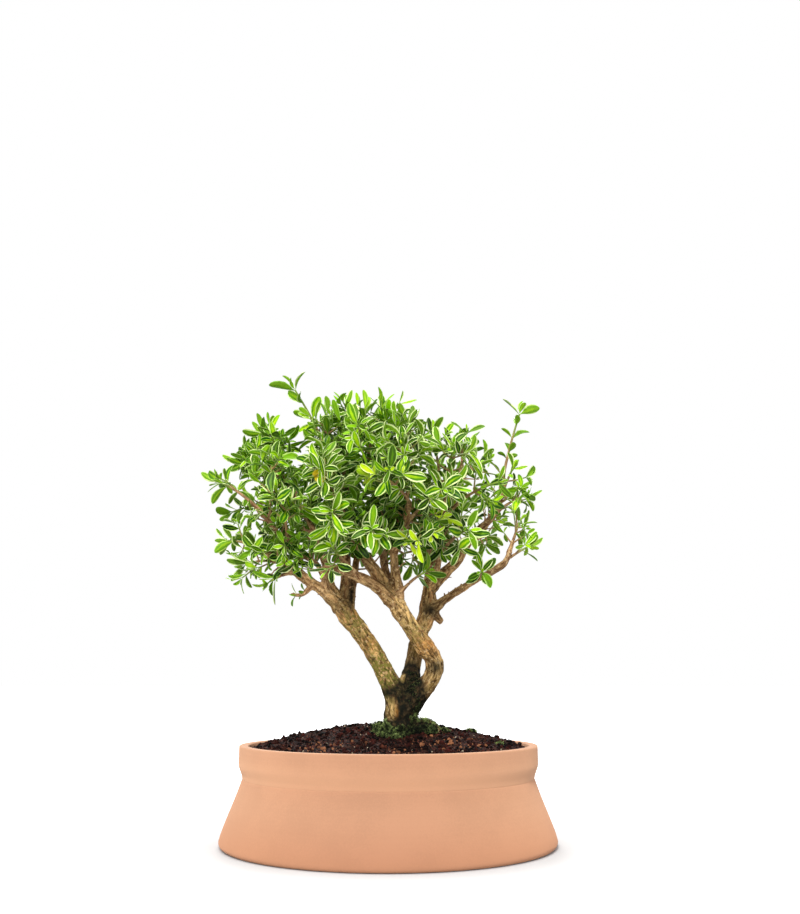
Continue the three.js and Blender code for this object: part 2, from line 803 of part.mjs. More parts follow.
// A spray: a twig whose opposite side faces open, pair by pair, into side twigs and leaves
function spray({ number, kind }, twigKnots, course) {
  const growth = new Growth();
  const bounds = ({ across, along }) => {
    const level = across.clone().addScaledVector(along, -across.dot(along)).normalize();
    const rise = new THREE.Vector3().crossVectors(along, level);
    return [rise.clone().negate(), level, rise, level.clone().negate()];
  };

  // Places a leaf on one side of a knot if some turn keeps it clear
  function leafOn(knot, k, key) {
    const outward = bounds(knot)[k];
    const level = new THREE.Vector3().crossVectors(outward, knot.along).negate();
    for (const [tilt, yaw] of TURNS) {
      const lean = knot.lean + LEAN_SPREAD * draw(number, key, 6 + k) + tilt;
      const along = wayOut(knot.along, outward, lean, yaw);
      const across = level.clone().addScaledVector(along, -level.dot(along)).normalize();
      const at = knot.at.clone().addScaledVector(outward, knot.half);
      const size = LEAF.leastSize + LEAF.sizeSpread * draw(number, key, 2 + k);
      const leaf = { at, along, across, size };
      const solid = bladeProbe(leaf);
      if (course.clears(solid)) return { leaf, solid };
    }
    return null;
  }

  // Adds a knot with a pair of leaves between two rings, each leaf growing from its own face
  function leafPair(low, knot, faces, key) {
    const found = faces.map((k) => ({ k, ...leafOn(knot, k, key) })).filter((f) => f.leaf);
    const end = knot.at.clone().addScaledVector(knot.along, TWIG.knot / 2);
    const high = growth.ring(end, knot.along, knot.across, knot.half, knot.half);
    const open = growth.bridge(low, high, found.map((f) => f.k));
    found.forEach((f, i) => growth.blade(open[i], f.leaf));
    found.forEach((f) => course.add(f.solid));
    return high;
  }

  function sideTwig(knot, k, key) {
    const outward = bounds(knot)[k];
    const length = TWIG.sideLength + TWIG.sideSpread * draw(number, key, 12 + k);
    for (const [tilt, yaw] of TURNS) {
      const lean = TWIG_LEAN + LEAN_SPREAD * draw(number, key, 8 + k) + tilt;
      const along = wayOut(knot.along, outward, lean, yaw);
      const at = knot.at.clone().addScaledVector(outward, knot.half);
      const across = knot.along.clone().cross(outward);
      const solid = probe(at, along, across, PROBE_SKIP, length, TWIG.tip + GAP);
      if (course.clears(solid)) return { k, at, along, across, length, solid };
    }
    return null;
  }

  function twigPair(low, knot, faces, key) {
    const found = faces.map((k) => sideTwig(knot, k, key)).filter((f) => f);
    const end = knot.at.clone().addScaledVector(knot.along, TWIG.knot / 2);
    const high = growth.ring(end, knot.along, knot.across, knot.half, knot.half);
    const open = growth.bridge(low, high, found.map((f) => f.k));
    found.forEach((twig, i) => {
      course.add(twig.solid);
      const half = TWIG.sideTip;
      const near = twig.at.clone().addScaledVector(twig.along, twig.length - TWIG.knot);
      const level = vec(growth.points[open[i][1]]).sub(vec(growth.points[open[i][0]]));
      const ring = growth.ring(near, twig.along, level, half, half);
      growth.bridge(open[i], ring);
      twig.end = { ring, level, half };
    });
    for (const twig of found) {
      const at = twig.at.clone().addScaledVector(twig.along, twig.length - TWIG.knot / 2);
      const { level, half } = twig.end;
      const tip = { at, along: twig.along, across: level, half, lean: LEAF_LEAN };
      const faces = draw(number, key, 20 + twig.k) < 0.5 ? [0, 2] : [1, 3];
      growth.quad(leafPair(twig.end.ring, tip, faces, 10 * key + twig.k));
    }
    return high;
  }

  const [foot, ...knots] = twigKnots;
  const level = new THREE.Vector3().crossVectors(UP, foot.along).normalize();
  let across = wayOut(foot.along, level, Math.PI / 2, 2 * Math.PI * draw(number, 0, 1));
  let low = growth.ring(foot.at, foot.along, across, foot.half, foot.half);
  growth.quad([...low].reverse());
  knots.forEach((knot, i) => {
    across = across.clone().addScaledVector(knot.along, -across.dot(knot.along)).normalize();
    const under = knot.at.clone().addScaledVector(knot.along, -TWIG.knot / 2);
    const ring = growth.ring(under, knot.along, across, knot.half, knot.half);
    growth.bridge(low, ring);
    const faces = i % 2 ? [0, 2] : [1, 3];
    const grow = knot.grows === "twigs" ? twigPair : leafPair;
    const lean = i === knots.length - 1 ? KINDS[kind].lastLean : LEAF_LEAN;
    low = grow(ring, { ...knot, across, lean }, faces, i + 1);
  });
  growth.quad(low);
  return growth.solid();
}

const MATERIALS = {
  pot: new THREE.MeshStandardMaterial({ color: 0xe7ac85, roughness: 0.8, metalness: 0 }),
  screen: new THREE.MeshStandardMaterial({ color: 0x222222, roughness: 0.7, metalness: 0 }),
  soil: new THREE.MeshStandardMaterial({ color: 0x3a2119, roughness: 0.95, metalness: 0 }),
  bark: new THREE.MeshStandardMaterial({ color: 0xa07c52, roughness: 0.85, metalness: 0 }),
  leaf: new THREE.MeshStandardMaterial({ color: 0x5c9a2e, roughness: 0.45, metalness: 0 }),
};

function bonsai() {
  const group = new THREE.Group();
  const plans = sprayPlans();
  const wood = woodBranches(plans, 0);
  group.add(meshOf("pot", pot(), MATERIALS.pot));
  drainPlaces().forEach(([x, y], i) => {
    group.add(meshOf(`drain_screen_${i + 1}`, drainScreen(x, y), MATERIALS.screen));
  });
  group.add(meshOf("soil", soil(joined(woodBranches(plans, GAP))), MATERIALS.soil));
  group.add(meshOf("trunk_and_branches", joined(wood), MATERIALS.bark));
  const course = obstacleCourse();
  wood.forEach(course.add);
  const twigs = plans.map((plan) => layTwig(plan, course));
  for (const plan of plans) {
    const solid = spray(plan, twigs[plan.number - 1], course);
    const name = `leaf_spray_${String(plan.number).padStart(2, "0")}`;
    group.add(meshOf(name, solid, MATERIALS.leaf));
  }
  return group;
}

export default bonsai();
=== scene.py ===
"""Looks of a variegated serissa bonsai in a round terracotta pot.

Sizes are in metres, +Z is up, and the front faces -Y. Only the tables of places are written in
millimetres, and metres() converts them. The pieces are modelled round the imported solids: each one
stands where its solid stands, with finer surfaces, more leaves and its finish.
"""
import math

import bpy
import numpy as np
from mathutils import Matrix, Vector, kdtree, noise


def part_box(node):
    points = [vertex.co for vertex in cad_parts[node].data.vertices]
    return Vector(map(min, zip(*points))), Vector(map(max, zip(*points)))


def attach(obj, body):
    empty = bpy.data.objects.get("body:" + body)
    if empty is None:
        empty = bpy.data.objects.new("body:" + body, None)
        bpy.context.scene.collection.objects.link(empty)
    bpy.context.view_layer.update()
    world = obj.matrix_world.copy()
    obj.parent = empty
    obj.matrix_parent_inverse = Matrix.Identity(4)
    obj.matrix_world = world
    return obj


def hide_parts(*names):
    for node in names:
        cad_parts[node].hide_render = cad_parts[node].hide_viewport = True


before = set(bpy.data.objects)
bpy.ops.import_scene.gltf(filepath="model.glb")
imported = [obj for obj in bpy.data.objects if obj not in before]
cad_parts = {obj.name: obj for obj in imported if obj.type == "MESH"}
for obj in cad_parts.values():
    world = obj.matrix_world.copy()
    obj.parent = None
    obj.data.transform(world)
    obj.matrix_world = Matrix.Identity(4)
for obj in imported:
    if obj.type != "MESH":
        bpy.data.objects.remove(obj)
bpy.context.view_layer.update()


def metres(table):
    """A table of millimetres as an array of metres; a dictionary of tables keeps its names."""
    if isinstance(table, dict):
        return {name: metres(rows) for name, rows in table.items()}
    return np.round(np.array(table) / 1000, 7)


# The photograph's view
CAMERA_PLACE = (0.0081, -0.773, 0.1144)
CAMERA_TILT = 0.207
CAMERA_LENS = 41.24

# Light: strength of the white surroundings, and each lamp's place, width and power in watts
AMBIENT = 0.72
LAMPS = {
    "front": ((-0.25, -1.7, 1.35), 0.6, 36),
    "overhead": ((-0.1, 0.1, 1.9), 0.7, 13),
    "behind": ((-0.2, 1.8, 1.1), 0.8, 20),
}
LAMP_TARGET = Vector((0, 0, 0.17))

# Floor: its white, and how it glows, so that it runs into the white background
FLOOR_REACH = 12
FLOOR_WHITE = 0.62
FLOOR_GLOW = 0.5
FLOOR_GLOW_AT_POT = 0.05
SHADOW_EDGE = 0.185  # the pot's soft shadow on the floor fades out at this radius
GLOW_EDGE = 0.6  # further out the floor is as white as the background

# Pot
POT_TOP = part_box("pot")[1]
BELLY_RADIUS, POT_HEIGHT = POT_TOP.x, POT_TOP.z
RIM_RADIUS = 0.1055
CREASE_RADIUS = 0.1028
CREASE_HEIGHT = 0.0452
BELLY_HEIGHT = 0.005
FOOT_RADIUS = 0.1135
FOOT_ROUNDING = 0.0035
LIP_ROUNDING = 0.001
COLLAR_CURVE = 0.48  # share of the height from the crease to the lip over which the pot widens to the rim
WALL = 0.0065
FLOOR = 0.007
DRAIN_RADIUS = 0.007
POT_SIDES = 192
SCREEN_HOLES = 7

# Soil
GAP = 0.0003
SOIL_EDGE = 0.065
SOIL_RISE = 0.015
SOIL_PEAK = (0.004, 0.030)
SOIL_SPREAD = (0.112, 0.072)
SOIL_WAVE = 0.0009
SOIL_RIPPLE = 0.0006
SOIL_ROUGHNESS = [(0.011, 0.0010), (0.0045, 0.0008), (0.0022, 0.0005)]  # size and depth of its lumps
SOIL_RINGS = 96
SOIL_SIDES = 300
CRUMB_COUNT = 3000
CRUMB_SIZE = 0.0005
CRUMB_SIZE_SPREAD = 0.0012
LARGE_CRUMB = 0.0014  # larger crumbs have more faces
PUMICE_SIZE = 0.0009  # only smaller crumbs may be pale
PUMICE_SHARE = 0.03
BARKY_SOIL = metres([(46, -34, 22), (-40, -50, 18), (10, -75, 14)])  # places and sizes of tan patches

# Wood: (x, y, z, radius) at each bend, from the root end outwards
TRUNK = metres([
    (7, 1, 40, 9), (7, 1, 58, 13), (7, 0, 70, 12.5), (7, 0, 78, 10.6), (7, 0, 88, 10),
    (8, 0, 98, 10),
])
STEMS = metres({
    "left": [
        (7, 0, 88, 8.2), (4, -2, 103, 7.3), (-4, -5, 119, 6.6), (-13, -8, 135, 6.1),
        (-21, -11, 147, 6.1), (-29, -14, 157, 6.5), (-35, -16, 166, 6.6),
    ],
    "middle": [
        (11, 2, 90, 6.8), (15, 6, 109, 6.4), (17, 8, 121, 5.8), (20, 10, 134, 5.8),
        (24, 12, 147, 5.6), (28, 14, 160, 5.8), (31, 18, 186, 5.2), (33, 21, 201, 4.8),
        (35, 24, 217, 4), (38, 27, 233, 3.2), (40, 30, 250, 2.2),
    ],
    "right": [
        (10, 0, 90, 7.4), (21, -3, 102, 6.6), (29, -6, 111, 5.9), (33, -8, 120, 5.8),
        (31, -11, 129, 6.1), (24, -14, 138, 6.4), (17, -16, 147, 6.3), (11, -17, 156, 6.1),
        (6, -18, 164, 6), (1, -18, 172, 5.4),
    ],
})
BRANCHES = metres({
    "left_outer": [
        (-34, -15, 164, 5), (-46, -18, 174, 4), (-59, -22, 183, 3.6), (-70, -26, 191, 3.2),
        (-80, -30, 196, 2.7), (-90, -33, 203, 2),
    ],
    "left_rising": [
        (-37, -15, 167, 4.4), (-44, -8, 183, 3.4), (-47, -2, 195, 2.9), (-52, 4, 211, 2.6),
        (-61, 10, 230, 2.3), (-74, 14, 251, 1.9), (-87, 16, 267, 1.5),
    ],
    "left_back": [
        (-33, -13, 164, 4.4), (-32, -6, 180, 3.6), (-32, 0, 193, 3.3), (-31, 6, 211, 3),
        (-34, 14, 235, 2.6), (-38, 16, 258, 2),
    ],
    "left_inner": [
        (-29, -12, 164, 3.6), (-26, 0, 183, 2.9), (-25, 12, 197, 2.6), (-21, 24, 217, 2.3),
        (-16, 34, 238, 1.9),
    ],
    "left_thin": [
        (-44, -19, 176, 2.4), (-51, -24, 193, 1.8), (-64, -28, 200, 1.6), (-77, -32, 212, 1.5),
        (-88, -36, 226, 1.4),
    ],
    "right_light": [
        (3, -18, 168, 4.8), (-9, -24, 178, 3.9), (-19, -28, 183, 3.5), (-27, -30, 186, 3.3),
        (-36, -32, 189, 3), (-45, -34, 192, 2.4),
    ],
    "right_dark": [
        (2, -17, 168, 4.8), (-6, -14, 183, 4.3), (-12, -14, 192, 4), (-20, -14, 203, 3.5),
        (-28, -14, 216, 2.8), (-37, -16, 232, 2.2),
    ],
    "right_back": [
        (3, -16, 168, 4.2), (-2, -8, 187, 3.3), (-4, -2, 199, 2.9), (-5, 6, 211, 2.6),
        (-4, 14, 231, 2.2), (-3, 20, 252, 1.8),
    ],
    "right_front": [
        (6, -18, 163, 4.8), (7, -16, 176, 4), (5, -16, 186, 3.6), (4, -18, 197, 3.2),
        (3, -22, 211, 2.8), (7, -28, 228, 2.2),
    ],
    "middle_low": [
        (31, 14, 162, 4.2), (45, 10, 173, 3.2), (55, 4, 179, 3), (65, -2, 185, 2.6),
        (74, -8, 189, 2.5), (83, -13, 194, 2.2), (87, -16, 202, 1.6),
    ],
    "middle_high": [
        (31, 17, 179, 4.6), (43, 18, 192, 3.8), (51, 16, 200, 3.8), (56, 16, 208, 3.5),
        (62, 14, 218, 3.2), (70, 12, 225, 2.9), (78, 10, 233, 2.4), (83, 8, 243, 2.2),
        (85, 6, 257, 1.9),
    ],
    "middle_straight": [
        (33, 18, 187, 3.6), (36, 10, 198, 3), (38, 2, 212, 2.5), (40, -4, 228, 2.2),
        (46, -2, 246, 1.9), (54, 0, 262, 1.6),
    ],
    "back_left": [
        (-32, 2, 197, 3), (-40, 24, 212, 2.5), (-46, 42, 228, 2),
    ],
    "back_right": [
        (33, 21, 201, 3.4), (36, 40, 214, 2.7), (38, 52, 230, 2),
    ],
    "front_left": [
        (-19, -14, 201, 2.8), (-26, -32, 212, 2.3), (-32, -48, 226, 1.8),
    ],
    "front_right": [
        (4, -20, 203, 2.8), (10, -36, 216, 2.3), (15, -49, 232, 1.8),
    ],
})
STUBS = metres({
    "in_the_fork": [(12, 4, 101, 2.6), (11, 0, 112, 2.4), (10, -1, 116, 1.7)],
    "on_the_middle_stem": [(34, 16, 160, 3), (39, 12, 154, 2.2)],
    "hooked": [(-55, -20, 178, 2), (-62, -20, 172, 1.5), (-70, -21, 172, 1.1)],
})
SURFACE_ROOT = metres([
    (9, -1, 76, 8), (20, 1, 77.5, 7), (28, 0, 76.5, 6.6), (35, -3, 70, 5.6), (40, -6, 60, 4),
])
ROOT_COUNT = 4
ROOT_START = 0.004
ROOT_SPREAD = 0.058
ROOT_DEPTH = 0.030
ROOT_RADIUS = 0.0075
WOOD_GRID = 0.00082  # edge of the grid that the limbs are joined on
LIMB_MAKES = {  # sides, ruggedness and step of each kind of limb
    "trunk": (28, 1.0, 0.0012), "root": (20, 1.0, 0.0012), "stem": (22, 1.0, 0.0012),
    "branch": (14, 0.9, 0.0011), "stub": (12, 0.9, 0.0010),
}
LEADER_MAKE = (10, 0.7, 0.0013)
FLARE = 0.22  # how much wider a limb is where it leaves its parent
LEADER_FLARE = 0.3
SWELLING = 0.16  # of a limb's radius
SWELLING_LENGTH = 0.011
WIND_LENGTH = 0.05  # the lobes of a limb turn by 2.2 over this length

# Bark: its pattern is drawn out along a limb, and its parts have these sizes
BARK_STRETCH = 0.24
CRACK_SIZE = 0.0026
RIDGE_SIZE = 0.0021
FIBRE_SIZE = 0.0009
LUMP_SIZE = 0.0055

# Growths, stains and painted shade on the wood: strength, centre and size of each soft patch, in
# millimetres
LICHEN = [
    (1.6, (-3, -6, 117), (13, 30, 20)), (0.8, (-24, -14, 152), (12, 30, 14)),
    (0.5, (20, -14, 146), (12, 30, 10)), (0.3, (30, 0, 102), (8, 30, 12)),
    (0.5, (22, 10, 140), (8, 20, 10)),
]
# dark patches: green-black stains on the stems, and painted shade in the forks and crotches between limbs;
# a negative strength lightens
DARK_STAINS_AND_SHADE = [
    (3.4, (16, 2, 105), (7.8, 30, 17)), (1.1, (34, -6, 121), (6, 20, 6)),
    (2.2, (17.5, -6, 94), (7, 30, 9)), (0.8, (13, -8, 87), (4, 20, 10)),
    (1.5, (5, -4, 72), (20, 30, 10)), (1.2, (20, 0, 76), (8, 30, 9)), (1, (30, 12, 163), (6, 20, 6)),
    (1, (2, -6, 104), (9, 30, 5)), (1.5, (20, 0, 87), (9, 30, 10)),
    (0.3, (-31, -10, 170), (5, 20, 12)), (1.2, (-5, 0, 89), (4, 30, 12)),
    (0.8, (6, -10, 81), (10, 20, 4)), (0.7, (-13, 4, 128), (6, 6, 20)),
    (-2.5, (10.5, -1, 114), (2, 4, 5)), (0.4, (-36, -12, 163), (4, 20, 5)),
    (0.9, (-27, -10, 172), (2.2, 20, 14)),
]
OCHRE = [
    (1.2, (7, -10, 90), (2.2, 20, 6)), (0.5, (26, -18, 136), (10, 20, 8)),
    (0.4, (-12, -16, 138), (6, 20, 10)), (0.4, (-24, -20, 158), (5, 20, 8)),
]
MOSS_ON_WOOD = [
    (1.4, (-4, -6, 76), (8, 20, 8)), (1, (10, -6, 74), (10, 20, 6)), (1.2, (24, -1, 84), (8, 16, 5)),
    (1.2, (31, -5, 77), (4, 16, 7)), (0.9, (17.5, 0, 103), (6.5, 14, 17)),
]

# Moss: its sprigs, and cushions on the soil as (x, y, radius, height) in millimetres and a tone
SPRIGS_ON_WOOD = 2300
SPRIGS_PER_AREA = 6e6
SPRIG_LENGTH = 0.0009
MOSS_CLUMP_SIZE = 0.004
MOSS_FOOT = 0.070  # under the soil's top there is none
DARK_MOSS_HEIGHT = 0.09  # the moss in the fork above it is painted dark, as shade in the fork
# the darkest cushions, in front of the surface root, are painted shade in its hollow
MOSS_CUSHIONS = [
    (-6, -8, 4, 7, 0.55), (-9, -12, 2.8, 3, 0.7), (-2, -13, 3.8, 6.4, 0.5), (4, -16, 3.4, 5, 0.75),
    (9, -13, 3.4, 6, 0.15), (16, -10, 3.6, 4.4, 0), (21, -12, 4, 4, 0), (25, -10, 3.4, 4.6, 0.1),
    (31, -10, 3.6, 6, 0.5), (27, -15, 3, 2.4, 0.3), (40, 1, 3.6, 3, 0.5), (33, 9, 4, 3, 0.6),
    (-5, -20, 3.2, 2.2, 0.6), (1, -22, 3.4, 2.6, 0.45), (7, -21, 3.2, 3, 0.65), (13, -17, 3, 3, 0.2),
    (18, 12, 3.4, 3, 0.4), (4, 15, 3.8, 3, 0.5), (-9, 6, 3.6, 4, 0.6), (78, -20, 3, 1.6, 0.55),
    (60, 20, 4, 2.4, 0.6),
]

# Sprays: where their tips are, and how they branch
SPRAYS = metres({
    "shoot": [
        (-71, -10, 326), (99, 0, 310),
    ],
    "full": [
        (-104, -14, 194), (-120, -2, 213), (-118, 8, 236), (-126, -8, 256), (-108, 6, 277),
        (-88, -4, 291), (-46, -16, 302), (-26, 2, 311), (-6, 8, 316), (14, -12, 301), (33, 8, 297),
        (54, 2, 288), (72, 8, 276), (92, -8, 266), (100, 4, 247), (96, -6, 226), (101, -14, 207),
        (-38, -72, 224), (-38, -56, 201), (-47, -74, 260), (-8, -80, 248), (10, -76, 274),
        (43, -70, 243), (29, -63, 211), (-3, -62, 210), (56, -48, 215), (-70, -58, 233),
        (-82, -44, 266), (-22, -66, 287), (45, -58, 272), (78, -40, 250), (-80, 46, 258),
        (-56, 64, 234), (-44, 52, 284), (-10, 78, 246), (0, 54, 294), (30, 76, 238), (38, 56, 276),
        (68, 50, 252), (78, 36, 222), (-86, 36, 218), (4, 58, 208),
    ],
    "small": [
        (-84, -32, 180), (66, -26, 188), (27, -26, 188),
    ],
})
LIME_SPRAYS = (23, 26)
BOLD_SPRAYS = (20, 21, 22, 24, 25, 27, 28, 32)  # their leaves have the palest margins
KINDS = {
    "full": {"reach": 0.036, "last_lean": 0.6,
             "pairs": [("twigs", 0.36), ("leaves", 0.7), ("leaves", 1)]},
    "small": {"reach": 0.020, "last_lean": 0.7, "pairs": [("leaves", 0.5), ("leaves", 1)]},
    "shoot": {"reach": 0.058, "last_lean": 0.3, "pairs": [("leaves", at) for at in (0.3, 0.56, 0.8, 1)]},
}
LEADER_RADIUS = 0.002
TWIG_SEAT = 0.0010
TWIG_TIP = 0.00065
TWIG_SIDES = 7
SIDE_TIP = 0.0005
SIDE_LENGTH = 0.012
SIDE_SPREAD = 0.007
LOWEST_CARRIER = 0.158
CARRIER_REACH = 0.7
CARRIER_SPACING = 0.008
TURNING_COST = 1.7
BARE_STRETCH = 0.010
TWIG_LEAN = 0.8
LEAN_SPREAD = 0.3
ACROSS = (1, 3)  # the two sides of a twig that one pair grows from, and those of the next pair
UPRIGHT = (0, 2)

# Leaves
LEAF_LENGTH = 0.0157
LEAF_WIDTH = 0.0053
LEAF_THICKNESS = 0.0004
LEAF_LEAN = 0.85
LEAF_OUTLINE = [  # (share of the length, share of the half width)
    (0, 0.10), (0.10, 0.19), (0.25, 0.60), (0.45, 0.93), (0.66, 1), (0.84, 0.80), (0.95, 0.45),
]
LEAF_SECTION = [  # (share of the half width, 1 on the upper side and -1 on the under side)
    (-1, 0), (-0.62, 1), (0, 1), (0.62, 1), (1, 0), (0.62, -1), (0, -1), (-0.62, -1),
]
LEAF_TURNS = [(0, 0), (0.2, 0.25), (-0.2, -0.25), (0.1, -0.5), (0.3, 0.5), (-0.35, 0.1), (0.5, -0.2)]
ROOMY = 0.0024  # a leaf this far from the others is turned no further
CRAMPED = 0.0012  # a further leaf that stays closer than this isn't grown

# Crown: where it is dense, and where it thins out
# the leaves' painted shade deepens towards this heart of the crown, out to this reach
CROWN_HEART = Vector((-0.005, 0.005, 0.225))
CROWN_REACH = 0.085
CLOTHED_HEIGHT = 0.205  # lower down the branches stay bare, as in the photograph
CLOTHED_SIDE = -0.050  # further left the leaves reach lower
CLOTHED_SIDE_HEIGHT = 0.190
CLOTHED_LEFT = -0.090
CLOTHED_RIGHT = 0.046
OUTER_RIGHT = 0.074  # the outermost branch on the right is leafy again
OUTER_TOP = 0.250
THIN_RIGHT = 0.076  # further right the tufts are thin and their leaves small
TOP_RIGHT = 0.010
TOP_HEIGHT = 0.258
TALL_HEIGHT = 0.29  # higher up the tufts end in a further tip with long upright leaves
TALL_TIP = 0.0055
TUFT_STEP = 0.0070
TUFT_SECOND = 0.0035  # how far below a tuft's end its second pair stands, and its third
TUFT_THIRD = 0.0078
SPUR_SCALE = 0.65
LEADER_TWIG_SCALE = 0.75
TOP_TWIG_SCALE = 0.7
TWIG_ROOM = 0.003  # a further twig whose end is closer to a leaf isn't grown
RIPE_PLACE = Vector((-0.049, -0.078, 0.245))  # leaves that end near it are yellow
RIPE_REACH = 0.008
SPUR_ROWS = 5  # a leafy spur grows at every fifth row of a branch walked in steps of 1 mm
SPUR_TIPS = metres([(-66, -21, 172), (-60, -20, 174)])
DRY_TWIG_STEP = 0.0048
DRY_TWIG_HEIGHT = 0.186  # below it only short spurs grow
UP = Vector((0, 0, 1))


def draw(a, b, c):
    """A number from 0 to 1 that depends only on three whole numbers."""
    s = math.sin(a * 127.1 + b * 311.7 + c * 74.7) * 43758.5453
    return s - math.floor(s)


def held(value):
    """The value, kept between 0 and 1."""
    return min(1, max(0, value))


# Meshes


class Shape:
    """Corners, faces and named values at each corner, gathered into one mesh."""

    def __init__(self):
        self.corners = []
        self.faces = []
        self.finishes = []
        self.values = []
        self.count = 0

    def add(self, corners, faces, finish=0, **values):
        self.faces += [[self.count + i for i in face] for face in faces]
        self.finishes += [finish] * len(faces)
        self.corners.append(np.asarray(corners, float))
        self.values.append((len(corners), values))
        self.count += len(corners)

    def mesh(self, name, sharp=None):
        """The gathered mesh; edges sharper than an angle in degrees stay sharp."""
        mesh = bpy.data.meshes.new(name)
        mesh.from_pydata(np.vstack(self.corners).tolist(), [], self.faces)
        mesh.polygons.foreach_set("material_index", self.finishes)
        mesh.polygons.foreach_set("use_smooth", [True] * len(self.faces))
        for label in sorted({label for _, values in self.values for label in values}):
            rows = [np.broadcast_to(values.get(label, (0, 0, 0)), (count, 3))
                    for count, values in self.values]
            write_values(mesh, label, np.vstack(rows))
        if sharp:
            mesh.set_sharp_from_angle(angle=math.radians(sharp))
        mesh.update()
        return mesh


def write_values(mesh, label, rows):
    """Stores three numbers at each corner of a mesh, for its material to read."""
    attribute = mesh.attributes.new(label, "FLOAT_VECTOR", "POINT")
    attribute.data.foreach_set("vector", np.asarray(rows, np.float32).ravel())


def corner_rows(corners, label):
    """The places or normals of a mesh's corners, as rows of three numbers."""
    rows = np.empty(len(corners) * 3, np.float32)
    corners.foreach_get(label, rows)
    return rows.reshape(-1, 3).astype(float)


def placed(name, data):
    """A new object in the scene."""
    made = bpy.data.objects.new(name, data)
    bpy.context.scene.collection.objects.link(made)
    return made


def piece(name, mesh, materials, replaces=()):
    """A shown piece that rides with the pot and stands for the named solids."""
    made = placed(name, mesh)
    for material in materials:
        mesh.materials.append(material)
    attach(made, "root")
    if replaces:
        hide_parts(*replaces)
    return made


def finished_mesh(made):
    """The mesh of an object with its modifiers applied; the object itself is removed."""
    graph = bpy.context.evaluated_depsgraph_get()
    mesh = bpy.data.meshes.new_from_object(made.evaluated_get(graph))
    bpy.data.objects.remove(made)
    return mesh


def even_turns(sides):
    """Angles spread evenly round a circle."""
    return np.arange(sides) * 2 * math.pi / sides


def walls(rings, sides, first=0):
    """Faces between neighbouring rings of corners."""
    faces = []
    for low in range(first, first + (rings - 1) * sides, sides):
        for k in range(sides):
            n = (k + 1) % sides
            faces.append((low + k, low + n, low + sides + n, low + sides + k))
    return faces


def tube_faces(rings, sides):
    """Faces of a tube that is closed at both ends."""
    last = (rings - 1) * sides
    return [tuple(range(sides))[::-1], tuple(range(last, last + sides)), *walls(rings, sides)]


def turned(profile, sides):
    """A closed turned form: corners and faces of a profile of (radius, height) from axis to axis."""
    inner = profile[1:-1]
    turns = even_turns(sides)
    corners = [(0, 0, profile[0][1])]
    for radius, height in inner:
        corners += [(radius * math.cos(turn), radius * math.sin(turn), height) for turn in turns]
    corners.append((0, 0, profile[-1][1]))
    last = len(corners) - 1
    faces = walls(len(inner), sides, 1)
    for k in range(sides):
        n = (k + 1) % sides
        faces += [(0, 1 + n, 1 + k), (last, last - sides + k, last - sides + n)]
    return corners, faces


# Shader tools


class Nodes:
    """Adds and links shader nodes in a material or a group with short calls."""

    def __init__(self, tree):
        self.tree = tree

    def feed(self, socket, value):
        """Links a socket, or sets it to a number, or to a colour as it looks on screen."""
        if isinstance(value, bpy.types.NodeSocket):
            self.tree.links.new(value, socket)
        else:
            socket.default_value = linear(*value) if isinstance(value, tuple) else value

    def add(self, kind, inputs=(), **settings):
        """The outputs of a new node; its inputs are listed in their order or given by name."""
        node = self.tree.nodes.new("ShaderNode" + kind)
        for key, value in settings.items():
            setattr(node, key, value)
        for key, value in inputs.items() if isinstance(inputs, dict) else enumerate(inputs):
            self.feed(node.inputs[key], value)
        return node.outputs

    def math(self, operation, *values):
        return self.add("Math", values, operation=operation)[0]

    def plus(self, a, b):
        return self.math("ADD", a, b)

    def minus(self, a, b):
        return self.math("SUBTRACT", a, b)

    def times(self, a, b):
        return self.math("MULTIPLY", a, b)

    def range(self, value, low, high, to_low=0, to_high=1):
        """A value that runs smoothly from one limit to the other."""
        limits = (value, low, high, to_low, to_high)
        return self.add("MapRange", limits, interpolation_type="SMOOTHSTEP")[0]

    def mix(self, share, a, b, blend="MIX"):
        return self.add("Mix", {0: share, 6: a, 7: b}, data_type="RGBA", blend_type=blend)[2]

    def layers(self, colour, *layers):
        """A colour with others laid over it one by one, each by its share."""
        for share, other in layers:
            colour = self.mix(share, colour, other)
        return colour

    def noise(self, place, scale, detail=3, roughness=0.55):
        inputs = {"Vector": place, "Scale": scale, "Detail": detail, "Roughness": roughness}
        return self.add("TexNoise", inputs)["Fac"]

    def spots(self, place, scale, detail, *limits):
        """Soft spots: a noise that runs from one limit to the other."""
        return self.range(self.noise(place, scale, detail), *limits)

    def place(self):
        return self.add("TexCoord")["Object"]

    def stored(self, label):
        """The three numbers that a mesh stores at its corners under a name."""
        return self.add("Attribute", attribute_name=label)["Vector"]

    def parts(self, vector):
        return self.add("SeparateXYZ", [vector])

    def mottled(self, place, colour, patch_scale, speck_scale, contrast):
        """A colour with the soft patches of the shared group."""
        return self.add("Group", [place, colour, patch_scale, speck_scale, contrast], node_tree=MOTTLE)[0]

    def grained(self, place, scale, strength, depth, height=0):
        """The normal of a surface with the fine relief of the shared group."""
        return self.add("Group", [place, scale, strength, depth, height], node_tree=GRAIN)[0]


def linear(*colour):
    """A colour given as it looks on screen, from 0 to 255, as linear light."""
    shares = [value / 255 for value in colour]
    return (*[s / 12.92 if s <= 0.04045 else ((s + 0.055) / 1.055) ** 2.4 for s in shares], 1)


def new_group(name, inputs, outputs):
    """An empty shader group with its named sockets, and its input and output nodes."""
    tree = bpy.data.node_groups.new(name, "ShaderNodeTree")
    for way, sockets in (("INPUT", inputs), ("OUTPUT", outputs)):
        for label, kind in sockets.items():
            tree.interface.new_socket(label, in_out=way, socket_type="NodeSocket" + kind)
    start = tree.nodes.new("NodeGroupInput")
    end = tree.nodes.new("NodeGroupOutput")
    return tree, Nodes(tree), start.outputs, end.inputs


